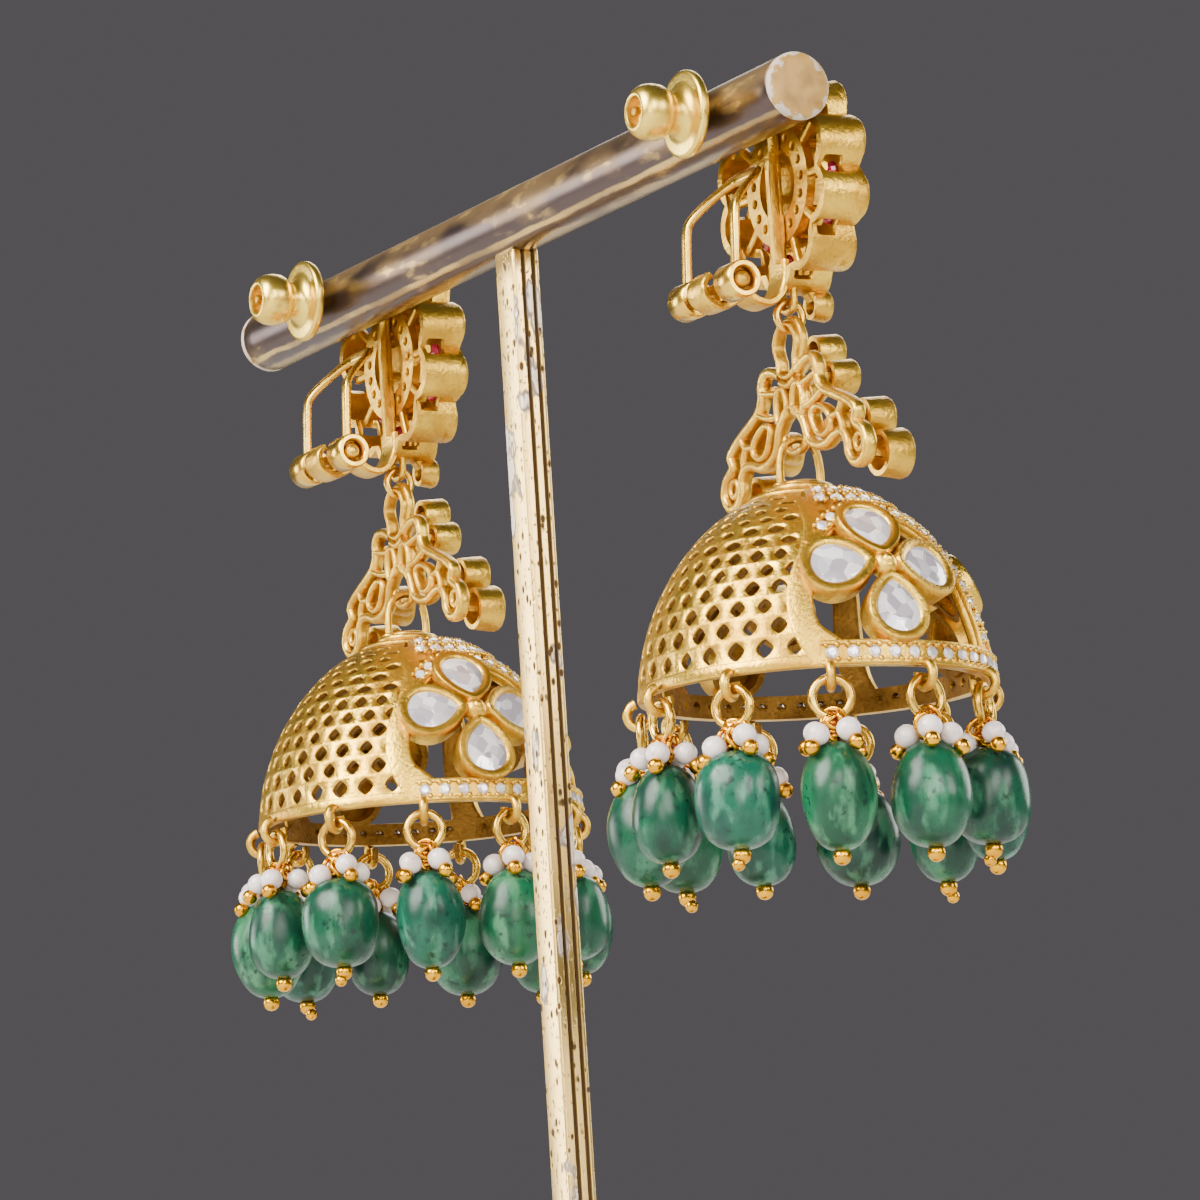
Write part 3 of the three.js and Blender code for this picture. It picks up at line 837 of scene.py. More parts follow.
def cut_stone(outline: Array, height: float, table: float, below: float) -> Solid:
    """A cut stone: girdle, crown, table and a shallow back, each ring a shrunk outline.

    Args:
        outline: (n, 2) girdle points.
        height: of the table over the girdle.
        table: its size as a share of the girdle.
        below: depth of the back.
    Returns:
        The stone, with its girdle at height nought.
    """
    n = len(outline)
    turn = np.roll(outline, 1, 0) * 0.5 + outline * 0.5
    levels = [(outline * 0.5, -below), (outline, 0.0), (turn * (0.5 + table / 2), height * 0.66),
              (outline * table, height)]
    rings = np.stack([np.concatenate([o, np.full((n, 1), z)], 1) for o, z in levels])
    return capped(rings)


def round_outline(radius: float, sides: int) -> Array:
    """A regular outline."""
    return round_section(radius, sides)


def pear_outline(length: float, width: float, sides: int) -> Array:
    """A pear with its point on +X: (a cos t, b sin t sin(t/2)^0.5).

    Args:
        length: from point to round end.
        width: across its widest place.
        sides: number of points.
    Returns:
        The (n, 2) outline.
    """
    t = np.linspace(0, 2 * math.pi, sides, endpoint=False)
    return np.stack([length / 2 * np.cos(t), width / 2 * 1.1 * np.sin(t) * np.abs(np.sin(t / 2)) ** 0.5], -1)


@dataclass
class Collet:
    """A stone in a rubbed-over cup of sheet, drawn flat with its face on +Z."""

    outline: Array
    depth: float
    lip: float = 0.5

    def cup(self) -> Solid:
        """The cup: a lip section carried round the outline, and a floor behind the stone."""
        n = len(self.outline)
        path = np.concatenate([self.outline, np.zeros((n, 1))], 1)
        d, w = self.depth, self.lip
        section = np.array([(-w, -0.12), (-0.7 * w, 0.16), (0.1 * w, 0.22), (0.75 * w, 0.02),
                            (w, -0.3), (0.95 * w, -d + 0.1), (0.8 * w, -d), (-w * 0.4, -d)])
        wall = carried(path, section[::-1], (0, 0, 1), True)
        ring = np.concatenate([self.outline * 0.98, np.full((n, 1), 0.0)], 1)
        floor = capped(np.stack([ring - [0, 0, 0.75], ring - [0, 0, 0.55]]))
        return joined([wall, floor])

    def stone(self) -> Solid:
        """The stone, a little inside the lip."""
        return cut_stone(self.outline * 0.93, 0.34, 0.5, 0.45).moved((0, 0, -0.12))


def laid(pattern: Solid, centre: Array, outward: Array, along: Array) -> Solid:
    """One copy of a flat drawn solid, put at a place."""
    return scattered(pattern, np.array([centre]), np.array([outward]), np.array([along], float))


# ---------------------------------------------------------------- the stand


@dataclass
class Stand:
    """Base plate, square post, tube bar and its end plugs."""

    palette: Palette
    bar_radius: float
    bar_height: float
    bar_half: float
    corner: float = 9.0
    edge: float = 0.8
    hole_radius: float = 0.8
    hole_places: list[float] = field(default_factory=list)

    def build(self) -> None:
        """Makes every piece of the stand."""
        self._base()
        self._post()
        self._bar()
        for side, name in ((-1, "left"), (1, "right")):
            self._cap(side, name)

    def _base(self) -> None:
        """Rounded plate: a superellipse-cornered outline, drawn in by the edge's quarter round."""
        low, high = (np.array(v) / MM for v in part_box("stand_base"))
        half = (high - low)[:2] / 2
        a = np.linspace(0, 2 * math.pi, 96, endpoint=False)
        corner = np.stack([np.sign(np.cos(a)), np.sign(np.sin(a))], -1) * (half - self.corner)
        arc = np.stack([np.cos(a), np.sin(a)], -1)
        turn = np.linspace(0, math.pi / 2, 6)
        levels = [(self.edge * (1 - math.sin(t)), low[2] + self.edge * (1 - math.cos(t))) for t in turn]
        levels += [(self.edge * (1 - math.cos(t)), high[2] - self.edge * (1 - math.sin(t))) for t in turn]
        rings = np.stack([np.concatenate([corner + arc * (self.corner - inset), np.full((96, 1), z)], 1)
                          for inset, z in levels])
        self.palette.make("base_plate", capped(rings), Slot.PALE, "stand", ["stand_base"])

    def _post(self) -> None:
        """Rectangular bar, rounded and grooved on its X sides, hollowed on top to the bar's round."""
        low, high = (np.array(v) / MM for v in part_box("stand_post"))
        half_x, half_y, r = high[0], high[1], 0.28
        turn = np.linspace(0, math.pi / 2, 5)
        corner = [(half_x - r + r * math.cos(t), half_y - r + r * math.sin(t)) for t in turn]
        lower = [(x, -y) for x, y in corner[::-1]]
        side = [(half_x - d, y + w) for y in GROOVES[::-1]
                for w, d in ((-0.24, 0.0), (-0.17, 0.3), (0.0, 0.42), (0.17, 0.3), (0.24, 0.0))]
        right = np.array(lower + side + corner)
        outline = np.concatenate([right, right[::-1] * [-1, 1]])
        top = self.bar_height - np.sqrt((self.bar_radius + 0.03) ** 2 - outline[:, 1] ** 2)
        n = len(outline)
        rows = [np.concatenate([outline, np.full((n, 1), z)], 1)
                for z in np.linspace(low[2], self.bar_height - 6, 30)]
        rows.append(np.concatenate([outline, top[:, None] - 0.2], 1))
        rows.append(np.concatenate([outline * 0.95, top[:, None]], 1))
        make_piece("square_post", capped(np.stack(rows)), self.palette.post, "stand",
                   ["stand_post"], crease=28)

    def _bar(self) -> None:
        """Tube along X: outer wall, rounded lip, inner wall, with a hole for each ear post."""
        end, wall, lip = self.bar_half - 1.0, 0.8, 0.2
        r = self.bar_radius
        profile = [(r - wall, -end), (r - lip, -end), (r - 0.3 * lip, -end + 0.3 * lip), (r, -end + lip)]
        profile += [(r, x) for x in np.linspace(-end + lip, end - lip, 60)[1:-1]]
        profile += [(r, end - lip), (r - 0.3 * lip, end - 0.3 * lip), (r - lip, end), (r - wall, end),
                    (r - wall, -end)]
        bar = self.palette.make("bar_tube", turned(profile, 72, "x").moved((0, 0, self.bar_height)),
                                Slot.BRONZE, "stand", ["stand_bar"])
        for x in self.hole_places:
            self._drill(bar, x)

    def _drill(self, bar: bpy.types.Object, x: float) -> None:
        """Cuts one ear-post hole across the bar and applies it."""
        drill = turned([(1e-4, -6), (self.hole_radius, -6), (self.hole_radius, 6), (1e-4, 6)], 32, "y")
        mesh = bpy.data.meshes.new("drill")
        points = (drill.moved((x, 0, self.bar_height)).points * MM).tolist()
        mesh.from_pydata(points, [], [[c for c in f if c >= 0] for f in drill.faces.tolist()])
        cutter = bpy.data.objects.new("drill", mesh)
        shape = bmesh.new()
        shape.from_mesh(mesh)
        bmesh.ops.recalc_face_normals(shape, faces=shape.faces)
        shape.to_mesh(mesh)
        shape.free()
        bpy.context.scene.collection.objects.link(cutter)
        cut = bar.modifiers.new("hole", "BOOLEAN")
        cut.operation, cut.solver, cut.object = "DIFFERENCE", "EXACT", cutter
        bpy.context.view_layer.update()
        done = bpy.data.meshes.new_from_object(bar.evaluated_get(bpy.context.evaluated_depsgraph_get()))
        bar.modifiers.clear()
        bar.data = done
        bpy.data.objects.remove(cutter)

    def _cap(self, side: int, name: str) -> None:
        """Plug: a barely domed disc with a worn round edge, and the spigot inside the tube."""
        r = self.bar_radius
        profile = [(1e-4, 0.0), (r * 0.55, 0.02), (r * 0.86, 0.09), (r * 0.96, 0.24), (r, 0.5), (r, 0.85),
                   (r - 0.06, 0.95), (r - 1.1, 0.95), (r - 1.1, 3), (1e-4, 3)]
        plug = turned(profile, 64, "x").mapped(np.diag([-side, 1, 1]))
        self.palette.make(f"end_plug_{name}", plug.moved((side * self.bar_half, 0, self.bar_height)),
                          Slot.CAP, "stand", [f"stand_cap_{name}"], crease=50)


# ---------------------------------------------------------------- one earring


@dataclass
class Place:
    """Where one earring hangs, in its own frame's millimetres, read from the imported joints."""

    side: str
    origin: Array
    hang_y: float
    loop_z: float
    dip_z: float
    hinge_y: float
    hinge_z: float

    @staticmethod
    def read(side: str) -> "Place":
        """Reads the joints of one side.

        Args:
            side: "left" or "right".
        Returns:
            Its places.
        """
        joints = {j["name"]: np.array(j.get("pos_m") or [0, 0, 0]) / MM for j in frame["joints"]}
        low, high = (np.array(v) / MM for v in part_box("stand_bar"))
        swing, dome, hinge = (joints[f"{side}_{k}"] for k in ("connector_swing", "dome_swing", "clip_hinge"))
        origin = np.array([swing[0], 0.0, (low[2] + high[2]) / 2])
        return Place(side, origin, swing[1], swing[2] - origin[2], dome[2] - origin[2],
                     hinge[1], hinge[2] - origin[2])

    def put(self, parts: Sequence[Solid]) -> Solid:
        """Joins solids of the earring's frame and moves them to where it hangs."""
        return joined(parts).moved(self.origin)


@dataclass
class EarTop:
    """Ten-petalled flower with a gallery behind, set stones in front, and its ear post."""

    place: Place
    palette: Palette
    centre_z: float = -6.3
    petals: int = 10
    ring: float = 7.4
    lobe: float = 2.9
    back: float = -3.5
    depth: float = 4.5
    wall: float = 0.8
    halo_stones: int = 17
    halo_radius: float = 3.95
    petal_stone: tuple[float, float] = (5.2, 4.1)       # length and width
    low_stone: tuple[float, float] = (-8.5, -17.6)      # Y and Z of the smallest, lowest stone
    post_radius: float = 0.45
    post_end: float = 10.5

    def build(self) -> None:
        """Makes the gold, the white stones and the red stones."""
        side = self.place.side
        gold = [self._petal_wall(), self._halo_back(), *self._front(), *self._fittings()]
        self.palette.make(f"{side}_ear_top_gold", self.place.put(gold), Slot.CAST, "stand",
                          [f"{side}_ear_top"], crease=45)
        self.palette.make(f"{side}_ear_top_polki", self.place.put(self._white()), Slot.WHITE, "stand",
                          crease=8)
        self.palette.make(f"{side}_ear_top_rubies", self.place.put(self._red()), Slot.RED, "stand",
                          crease=8)

    def _outline(self, u: Array, inset: Array) -> tuple[Array, Array]:
        """Petal edge at u petals round: centre circle plus lobe arcs, less an inset.

        Args:
            u: position, one unit to a petal, a petal's middle at a whole number.
            inset: distance inside the outer edge.
        Returns:
            X and Z of each point.
        """
        half = math.pi / self.petals
        valley = self.ring * math.cos(half) + math.sqrt(self.lobe**2 - (self.ring * math.sin(half)) ** 2)
        sweep = math.atan2(valley * math.sin(half), valley * math.cos(half) - self.ring)
        k = np.round(u)
        angle = -math.pi / 2 + k * 2 * half
        turn = angle + (u - k) * 2 * sweep
        radius = self.lobe - inset
        return (self.ring * np.cos(angle) + radius * np.cos(turn),
                self.centre_z + self.ring * np.sin(angle) + radius * np.sin(turn))

    def _petal_wall(self) -> Solid:
        """Wall round the petals, with a slot at each valley between its back edge and front."""
        valley = np.array([-0.16, 0.16, 0.33, 0.5, 0.67])
        columns = (np.arange(self.petals)[:, None] - 0.5 + valley).ravel()
        columns = np.append(columns, self.petals - 0.66)
        rows = np.array([0.0, 0.45, 2.6, 3.6, self.depth])

        def surface(u: Array, v: Array, w: Array) -> Array:
            """The wall, a little fuller towards its front."""
            x, z = self._outline(u, w * self.wall)
            bulge = 0.14 * np.sin(np.clip((v - 2.4) / 2.1, 0, 1) * math.pi)
            return np.stack([x * (1 + bulge * 0.02), self.back - v, z], -1)

        def hole(i: int, j: int) -> Optional[tuple[float, float, float]]:
            """A slot at each valley, in the second row."""
            return (0.94, 0.9, 6.0) if j == 1 and i % len(valley) == 0 else None

        return Pierced(columns, rows, hole, surface, wrap=True).solid()

    def _halo_back(self) -> Solid:
        """Flat ring behind the halo's stones, drilled once under each of them."""
        columns = np.linspace(0, 2 * math.pi, self.halo_stones + 1)
        rows = np.array([3.3, 3.75, 5.15, 5.7])

        def surface(u: Array, v: Array, w: Array) -> Array:
            """The flat ring, by angle, radius and depth."""
            return np.stack([v * np.cos(u), self.back - 0.7 - w * 0.9, self.centre_z + v * np.sin(u)], -1)

        return Pierced(columns, rows, lambda i, j: (0.5, 0.62, 2.0) if j == 1 else None, surface,
                       wrap=True).solid()

    def _lobe_centres(self) -> Array:
        """Middle of each petal as (x, z)."""
        angle = -math.pi / 2 + np.arange(self.petals) * 2 * math.pi / self.petals
        return np.stack([self.ring * np.cos(angle), self.centre_z + self.ring * np.sin(angle)], -1)

    def _facing(self, solid: Solid, x: float, y: float, z: float, along: Sequence[float]) -> Solid:
        """A flat drawn solid turned to face -Y at a place."""
        return laid(solid, np.array([x, y, z]), FORWARD, np.asarray(along, float))

    def _front(self) -> list[Solid]:
        """Floor plate, a pear collet on every petal, the pave halo and the centre collet."""
        front = self.back - self.depth
        floor = turned([(1e-4, front + 1.0), (7.2, front + 1.0), (7.2, front + 0.55), (1e-4, front + 0.55)],
                       48, "y").moved((0, 0, self.centre_z))
        parts = [floor]
        cup = Collet(pear_outline(*self.petal_stone, 28), 1.0, 0.42).cup()
        for x, z in self._lobe_centres():
            inward = (-x, 0.0, self.centre_z - z)
            parts.append(self._facing(cup, x * 1.02, front - 0.05, self.centre_z + (z - self.centre_z) * 1.02,
                                      inward))
        for radius in (3.15, 4.75):
            a = np.linspace(0, 2 * math.pi, 60, endpoint=False)
            path = np.stack([radius * np.cos(a), np.full(60, front - 0.3),
                             self.centre_z + radius * np.sin(a)], -1)
            parts.append(carried(path, soft_section(0.42, 1.6, 12), (0, 1, 0), True))
        grains = self._halo_ring(self.halo_stones * 2, self.halo_radius, front - 0.35, 0.5)
        parts.append(scattered(ball(0.24, 8, 4), grains, np.tile(FORWARD, (len(grains), 1)),
                               np.tile(ALONG_BAR, (len(grains), 1))))
        centre = Collet(round_outline(2.1, 32), 1.6, 0.5).cup()
        parts.append(self._facing(centre, 0, front - 1.0, self.centre_z, (1, 0, 0)))
        parts += self._links(front)
        return parts

    def _links(self, front: float) -> list[Solid]:
        """Short posts that hold the halo's back ring, the floor and the petal wall together."""
        links = []
        for k in range(self.petals):
            a = -math.pi / 2 + (k + 0.5) * 2 * math.pi / self.petals
            (x0, z0), (x1, z1), (x2, z2) = ((r * math.cos(a), self.centre_z + r * math.sin(a))
                                            for r in (5.4, 8.3, 5.3))
            links.append(carried(np.array([[x0, self.back - 1.1, z0], [x1, self.back - 1.1, z1]]),
                                 soft_section(0.8, 0.7, 12), (0, 1, 0)))
            links.append(carried(np.array([[x2, self.back - 1.0, z2], [x2, front + 0.9, z2]]),
                                 round_section(0.42, 10)))
        return links

    def _halo_ring(self, count: int, radius: float, y: float, phase: float = 0.0) -> Array:
        """Points evenly round the flower's middle."""
        a = (np.arange(count) + phase) * 2 * math.pi / count
        return np.stack([radius * np.cos(a), np.full(count, y), self.centre_z + radius * np.sin(a)], -1)

    def _fittings(self) -> list[Solid]:
        """Clip strip, ear post, hinge arm and pin, the hanging loop and the lowest small collet."""
        p, y = self.place, self.place.hang_y
        strip_y = self.back - 0.35
        strip = carried(np.array([[0, strip_y, z] for z in np.linspace(1.7, -15.0, 12)]),
                        soft_section(2.2, 0.7, 20, 5), (0, 1, 0))
        rail = [carried(np.array([[-1.0, strip_y + 0.55, 0.9], [-1.0, strip_y + 0.55, -14.0]]),
                        soft_section(0.34, 0.9, 10), (0, 1, 0))]
        post = turned([(1e-4, self.back - 0.6), (self.post_radius, self.back - 0.5),
                       (self.post_radius, self.post_end - 1.1), (0.36, self.post_end - 0.95),
                       (0.36, self.post_end - 0.7), (self.post_radius, self.post_end - 0.5),
                       (0.36, self.post_end - 0.08), (1e-4, self.post_end)], 20, "y")
        arm_path = smooth_path([(0, strip_y, -13.6), (0, strip_y + 0.1, -15.4), (0, -3.1, -16.9),
                                (0, -1.9, -17.7), (0, -0.6, -17.5), (0, 0.5, -16.9), (0, 1.5, -17.6),
                                (0, 3.2, -18.25),
                                (0, 4.7, -17.5), (0, 4.9, -16.2), (0, 4.2, -15.4)], 5)
        ahead = unit(np.gradient(arm_path, axis=0))
        arm = carried(arm_path, soft_section(3.2, 0.75, 16, 5), np.cross(ahead, [1.0, 0, 0]))
        pin_web = carried(np.array([[0, 3.2, p.hinge_z], [0, 3.2, -17.9]]), soft_section(3.6, 0.7, 12, 5),
                          (0, 1, 0))
        pin = turned([(1e-4, -6.0), (0.5, -5.9), (0.84, -5.5), (0.84, -5.2), (0.66, -4.8), (0.62, -4.6),
                      (0.62, 4.6), (0.66, 4.8), (0.84, 5.2), (0.84, 5.5), (0.5, 5.9), (1e-4, 6.0)], 20, "x")
        loop = wire([(-1.05, y, -15.9), (-1.05, y, -17.2), (-0.85, y, -18.0), (0, y, p.loop_z),
                     (0.85, y, -18.0), (1.05, y, -17.2), (1.05, y, -15.9)], 0.36, 6)
        low = Collet(round_outline(1.15, 24), 1.6, 0.36).cup()
        stem = carried(np.array([[0, -6.6, -16.2], [0, -7.2, -17.0]]), soft_section(1.6, 0.8, 12), (0, 1, 0))
        return [strip, *rail, post, arm, pin_web, pin.moved((0, p.hinge_y, p.hinge_z)), loop, stem,
                self._facing(low, 0, self.low_stone[0] + 0.05, self.low_stone[1], ALONG_BAR)]

    def _white(self) -> list[Solid]:
        """Pear stones on the petals, the halo's round stones and the lowest small one."""
        front = self.back - self.depth
        pear = Collet(pear_outline(*self.petal_stone, 14), 1.0, 0.42).stone()
        stones = [self._facing(pear, x * 1.02, front - 0.05, self.centre_z + (z - self.centre_z) * 1.02,
                               (-x, 0.0, self.centre_z - z)) for x, z in self._lobe_centres()]
        places = self._halo_ring(self.halo_stones, self.halo_radius, front - 0.5)
        small = cut_stone(round_outline(0.6, 8), 0.28, 0.55, 0.5)
        stones.append(scattered(small, places, np.tile(FORWARD, (len(places), 1)),
                                np.tile(ALONG_BAR, (len(places), 1))))
        stones.append(self._facing(cut_stone(round_outline(1.1, 10), 0.4, 0.5, 0.4), 0, *self.low_stone,
                                   ALONG_BAR))
        return stones

    def _red(self) -> list[Solid]:
        """The centre stone, and a small drop of red behind each valley."""
        front = self.back - self.depth
        stones = [self._facing(cut_stone(round_outline(2.0, 12), 0.7, 0.5, 0.6), 0, front - 1.1,
                               self.centre_z, (1, 0, 0))]
        for k in range(self.petals):
            a = -math.pi / 2 + (k + 0.5) * 2 * math.pi / self.petals
            stones.append(ball(0.62, 10, 6, (7.1 * math.cos(a), self.back - 2.6,
                                             self.centre_z + 7.1 * math.sin(a)), 1.3))
        return stones


@dataclass
class OmegaClip:
    """Two barrels on the hinge pin and the sprung wire that arches between them."""

    place: Place
    palette: Palette
    outer: float = 1.75
    bore: float = 1.12
    near: float = 3.0
    far: float = 6.0
    wire_width: float = 1.15
    wire_thickness: float = 0.72

    def build(self) -> None:
        """Makes the clip as one piece."""
        side = self.place.side
        parts = [self._barrel(s) for s in (-1, 1)] + [self._wire()]
        self.palette.make(f"{side}_clip_wire", self.place.put(parts), Slot.WIRE, f"{side}_clip",
                          [f"{side}_omega_clip"], crease=45)

    def _barrel(self, side: int) -> Solid:
        """A short tube with softened edges, turned about the hinge pin."""
        o, b, e = self.outer, self.bore, 0.14
        line = [(b + e, self.near), (o - e, self.near), (o, self.near + e), (o, self.far - e),
                (o - e, self.far), (b + e, self.far), (b, self.far - e), (b, self.near + e)]
        tube = turned([*line, line[0]], 36, "x").mapped(np.diag([side, 1, 1]))
        return tube.moved((0, self.place.hinge_y, self.place.hinge_z))

    def _wire(self) -> Solid:
        """Flat wire from barrel to barrel: up each side, forward under the bar and across."""
        middle = (self.near + self.far) / 2
        leg = [(middle + 0.2, 3.35, -15.1), (middle + 0.2, 3.25, -12.8), (middle + 0.15, 3.1, -10.2),
               (middle - 0.1, 2.7, -9.0), (middle - 0.8, 1.4, -7.6), (middle - 1.7, -0.3, -6.1)]
        points = [(-x, y, z) for x, y, z in leg] + [(-1.6, -1.1, -5.5), (1.6, -1.1, -5.5)] + leg[::-1]
        path = smooth_path(points, 7)
        ahead = unit(np.gradient(path, axis=0))
        outward = np.cross(ahead, np.cross(np.array([0, 1.0, 0.35]), ahead))
        return carried(path, soft_section(self.wire_width, self.wire_thickness, 14, 3.2), unit(outward))


@dataclass
class Clutch:
    """Bullet clutch: a broad disc against the bar and a barrel that grips the post."""

    place: Place
    palette: Palette
    disc: float = 4.1
    start: float = 4.5

    def build(self) -> None:
        """Turns the clutch about the ear post."""
        s, d = self.start, self.disc
        line = [(0.62, s + 0.15), (2.4, s), (d - 0.35, s), (d - 0.1, s + 0.12), (d, s + 0.35), (d, s + 0.7),
                (d - 0.12, s + 0.9), (d - 0.4, s + 0.98), (3.1, s + 0.95), (2.5, s + 1.1), (2.1, s + 1.5),
                (1.93, s + 2.0), (1.92, s + 2.3), (2.0, s + 2.55), (2.3, s + 2.85), (2.58, s + 3.4),
                (2.66, s + 4.2), (2.56, s + 4.9), (2.28, s + 5.5), (1.9, s + 5.85), (1.6, s + 5.95),
                (1.42, s + 5.85), (1.36, s + 5.5), (1.34, s + 4.7), (0.62, s + 4.6)]
        side = self.place.side
        self.palette.make(f"{side}_clutch_turned", self.place.put([turned([*line, line[0]], 72, "y")]),
                          Slot.TURNED, f"{side}_clutch", [f"{side}_clutch"], crease=50)


@dataclass
class Connector:
    """Cast gallery between ear top and dome: loop, two lobed arms and stones in front."""

    place: Place
    palette: Palette
    ring_radius: float = 1.35
    ring_gauge: float = 0.36
    ring_hang: float = 0.86         # from the ear top's loop to the top of the ring
    dip_depth: float = 12.3         # from the top loop to the wire that the dome hangs on
    gauge: float = 0.47
    wall_depth: float = 1.35

    def build(self) -> None:
        """Makes the top ring, the gallery with its collets, and the stones."""
        p, side = self.place, self.place.side
        centre = p.loop_z + self.ring_hang - self.ring_radius
        self.palette.make(f"{side}_top_ring_wire",
                          p.put([ring_wire((0, p.hang_y, centre), self.ring_radius, self.ring_gauge, 0)]),
                          Slot.WIRE,
                          f"{side}_connector", [f"{side}_top_ring"])
        top = p.dip_z + self.dip_depth
        gold = [*self._loops(top), *self._arms(top), *self._collets(top)]
        self.palette.make(f"{side}_connector_gold", p.put(gold), Slot.CAST, f"{side}_connector",
                          [f"{side}_connector"], crease=45)
        self.palette.make(f"{side}_connector_polki", p.put(self._stones(top)), Slot.WHITE,
                          f"{side}_connector", crease=8)

    def _at(self, points: Sequence[tuple[float, float]], top: float, y: float = 0.0) -> list[tuple]:
        """Plane points (x, z) of the gallery as points of the earring's frame."""
        return [(x, self.place.hang_y + y, top + z) for x, z in points]

    def _gallery(self, points: Sequence[tuple[float, float]], top: float, closed: bool = True,
                 width: float = 0.7) -> Solid:
        """A thin upright wall, rounded at its edges, that follows a line of the pattern."""
        path = smooth_path(self._at(points, top, 0.25), 6, closed)
        return carried(path, soft_section(width, self.wall_depth, 14, 2.6), (0, 1, 0), closed)

    def _loops(self, top: float) -> list[Solid]:
        """Top loop in round wire, and the wire in the middle that the dome hangs on."""
        loop = wire(self._at([(0, 0), (1.4, -0.45), (2.25, -2.0), (1.75, -3.7), (1.5, -5.0), (0, -5.6),
                              (-1.5, -5.0), (-1.75, -3.7), (-2.25, -2.0), (-1.4, -0.45)], top), self.gauge, 5,
                    closed=True)
        inside = [(0, -0.3), (1.25, -0.75), (2.0, -2.1), (1.55, -3.6), (1.35, -4.8), (0, -5.3),
                  (-1.35, -4.8), (-1.55, -3.6), (-2.0, -2.1), (-1.25, -0.75)]
        loop = joined([loop, self._gallery(inside, top, True, 0.6)])
        dip = wire(self._at([(-2.5, -9.4), (-2.2, -10.9), (-1.3, -12.0), (0, -12.3), (1.3, -12.0),
                             (2.2, -10.9), (2.5, -9.4)], top), 0.42, 6)
        return [loop, dip]

    def _arms(self, top: float) -> list[Solid]:
        """One continuous wall round each arm and its lobe, with cross links and small rings."""
        outer = [(1.6, -4.9), (3.0, -4.3), (4.4, -4.2), (5.2, -5.1), (5.3, -6.4), (6.2, -7.6), (8.4, -8.6),
                 (10.6, -9.6), (11.9, -10.6), (11.6, -11.7), (13.0, -12.7), (13.5, -14.1), (12.7, -15.3),
                 (11.2, -15.4), (10.2, -14.4), (10.0, -13.1), (9.2, -12.2), (7.8, -12.2), (6.2, -12.7),
                 (4.4, -12.5), (3.0, -11.6), (2.3, -9.9), (0.9, -8.5)]
        eyes = [[(0.7, -8.7), (0.6, -7.4), (1.1, -6.3), (2.0, -6.3), (2.5, -7.5), (2.2, -9.2)],
                [(3.9, -9.6), (5.0, -9.0), (6.6, -9.7), (7.4, -10.9), (6.4, -11.8), (4.9, -11.5)]]
        links = [[(2.4, -6.4), (3.6, -6.2), (5.1, -5.9)], [(2.5, -8.6), (4.2, -8.4), (6.2, -7.7)],
                 [(7.2, -10.5), (8.8, -10.3), (9.6, -9.4)], [(8.8, -10.4), (9.3, -11.3), (9.4, -12.3)]]
        lines = [(outer, False, 1.02), *((eye, True, 0.7) for eye in eyes),
                 *((link, False, 0.7) for link in links)]
        parts = []
        for s in (-1, 1):
            for line, closed, width in lines:
                parts.append(self._gallery([(s * x, z) for x, z in line], top, closed, width))
            parts.append(ring_wire(self._at([(s * 11.9, -13.6)], top, 0.3)[0], 0.75, 0.3, 1, 20))
        parts.append(self._gallery([(-1.4, -5.6), (0, -6.1), (1.4, -5.6)], top, False))
        parts.append(self._gallery([(-1.2, -8.6), (0, -8.1), (1.2, -8.6)], top, False))
        return parts

    def _seats(self) -> list[tuple[float, float, float, float]]:
        """(x, z, radius, lift) of each stone in front of the gallery."""
        half = [(4.0, -6.0, 1.3, 3.8), (8.7, -10.8, 1.7, 4.3), (11.7, -14.6, 1.95, 4.1),
                (5.6, -10.9, 1.15, 3.0)]
        return [(0.0, -2.9, 1.4, 4.7)] + [(s * x, z, r, d) for s in (-1, 1) for x, z, r, d in half]

    def _collets(self, top: float) -> list[Solid]:
        """Deep round cups on short posts that stand forward of the gallery."""
        parts = []
        y = self.place.hang_y
        for x, z, radius, lift in self._seats():
            cup = Collet(round_outline(radius, 28), 2.5, 0.4).cup()
            parts.append(laid(cup, np.array([x, y - lift, top + z]), FORWARD, ALONG_BAR))
            foot = -5.6 if x == 0 else z * 0.98
            parts.append(carried(np.array([[x, y - lift + 2.0, top + z], [x * 0.97, y + 0.1, top + foot]]),
                                 soft_section(0.9, 0.9, 10, 3)))
        return parts

    def _stones(self, top: float) -> list[Solid]:
        """A cut stone in each collet, and the backs of those that show through the gallery."""
        y = self.place.hang_y
        stones = [laid(cut_stone(round_outline(r * 0.95, 10), 0.4, 0.5, 0.4),
                       np.array([x, y - lift - 0.1, top + z]), FORWARD, ALONG_BAR)
                  for x, z, r, lift in self._seats()]
        back = cut_stone(pear_outline(2.9, 1.7, 12), 0.3, 0.5, 0.3)
        stones += [laid(back, np.array([s * 5.6, y - 0.7, top - 10.4]), np.array([0, 1.0, 0]),
                        np.array([s * 1.0, 0, 0.5])) for s in (-1, 1)]
        return stones


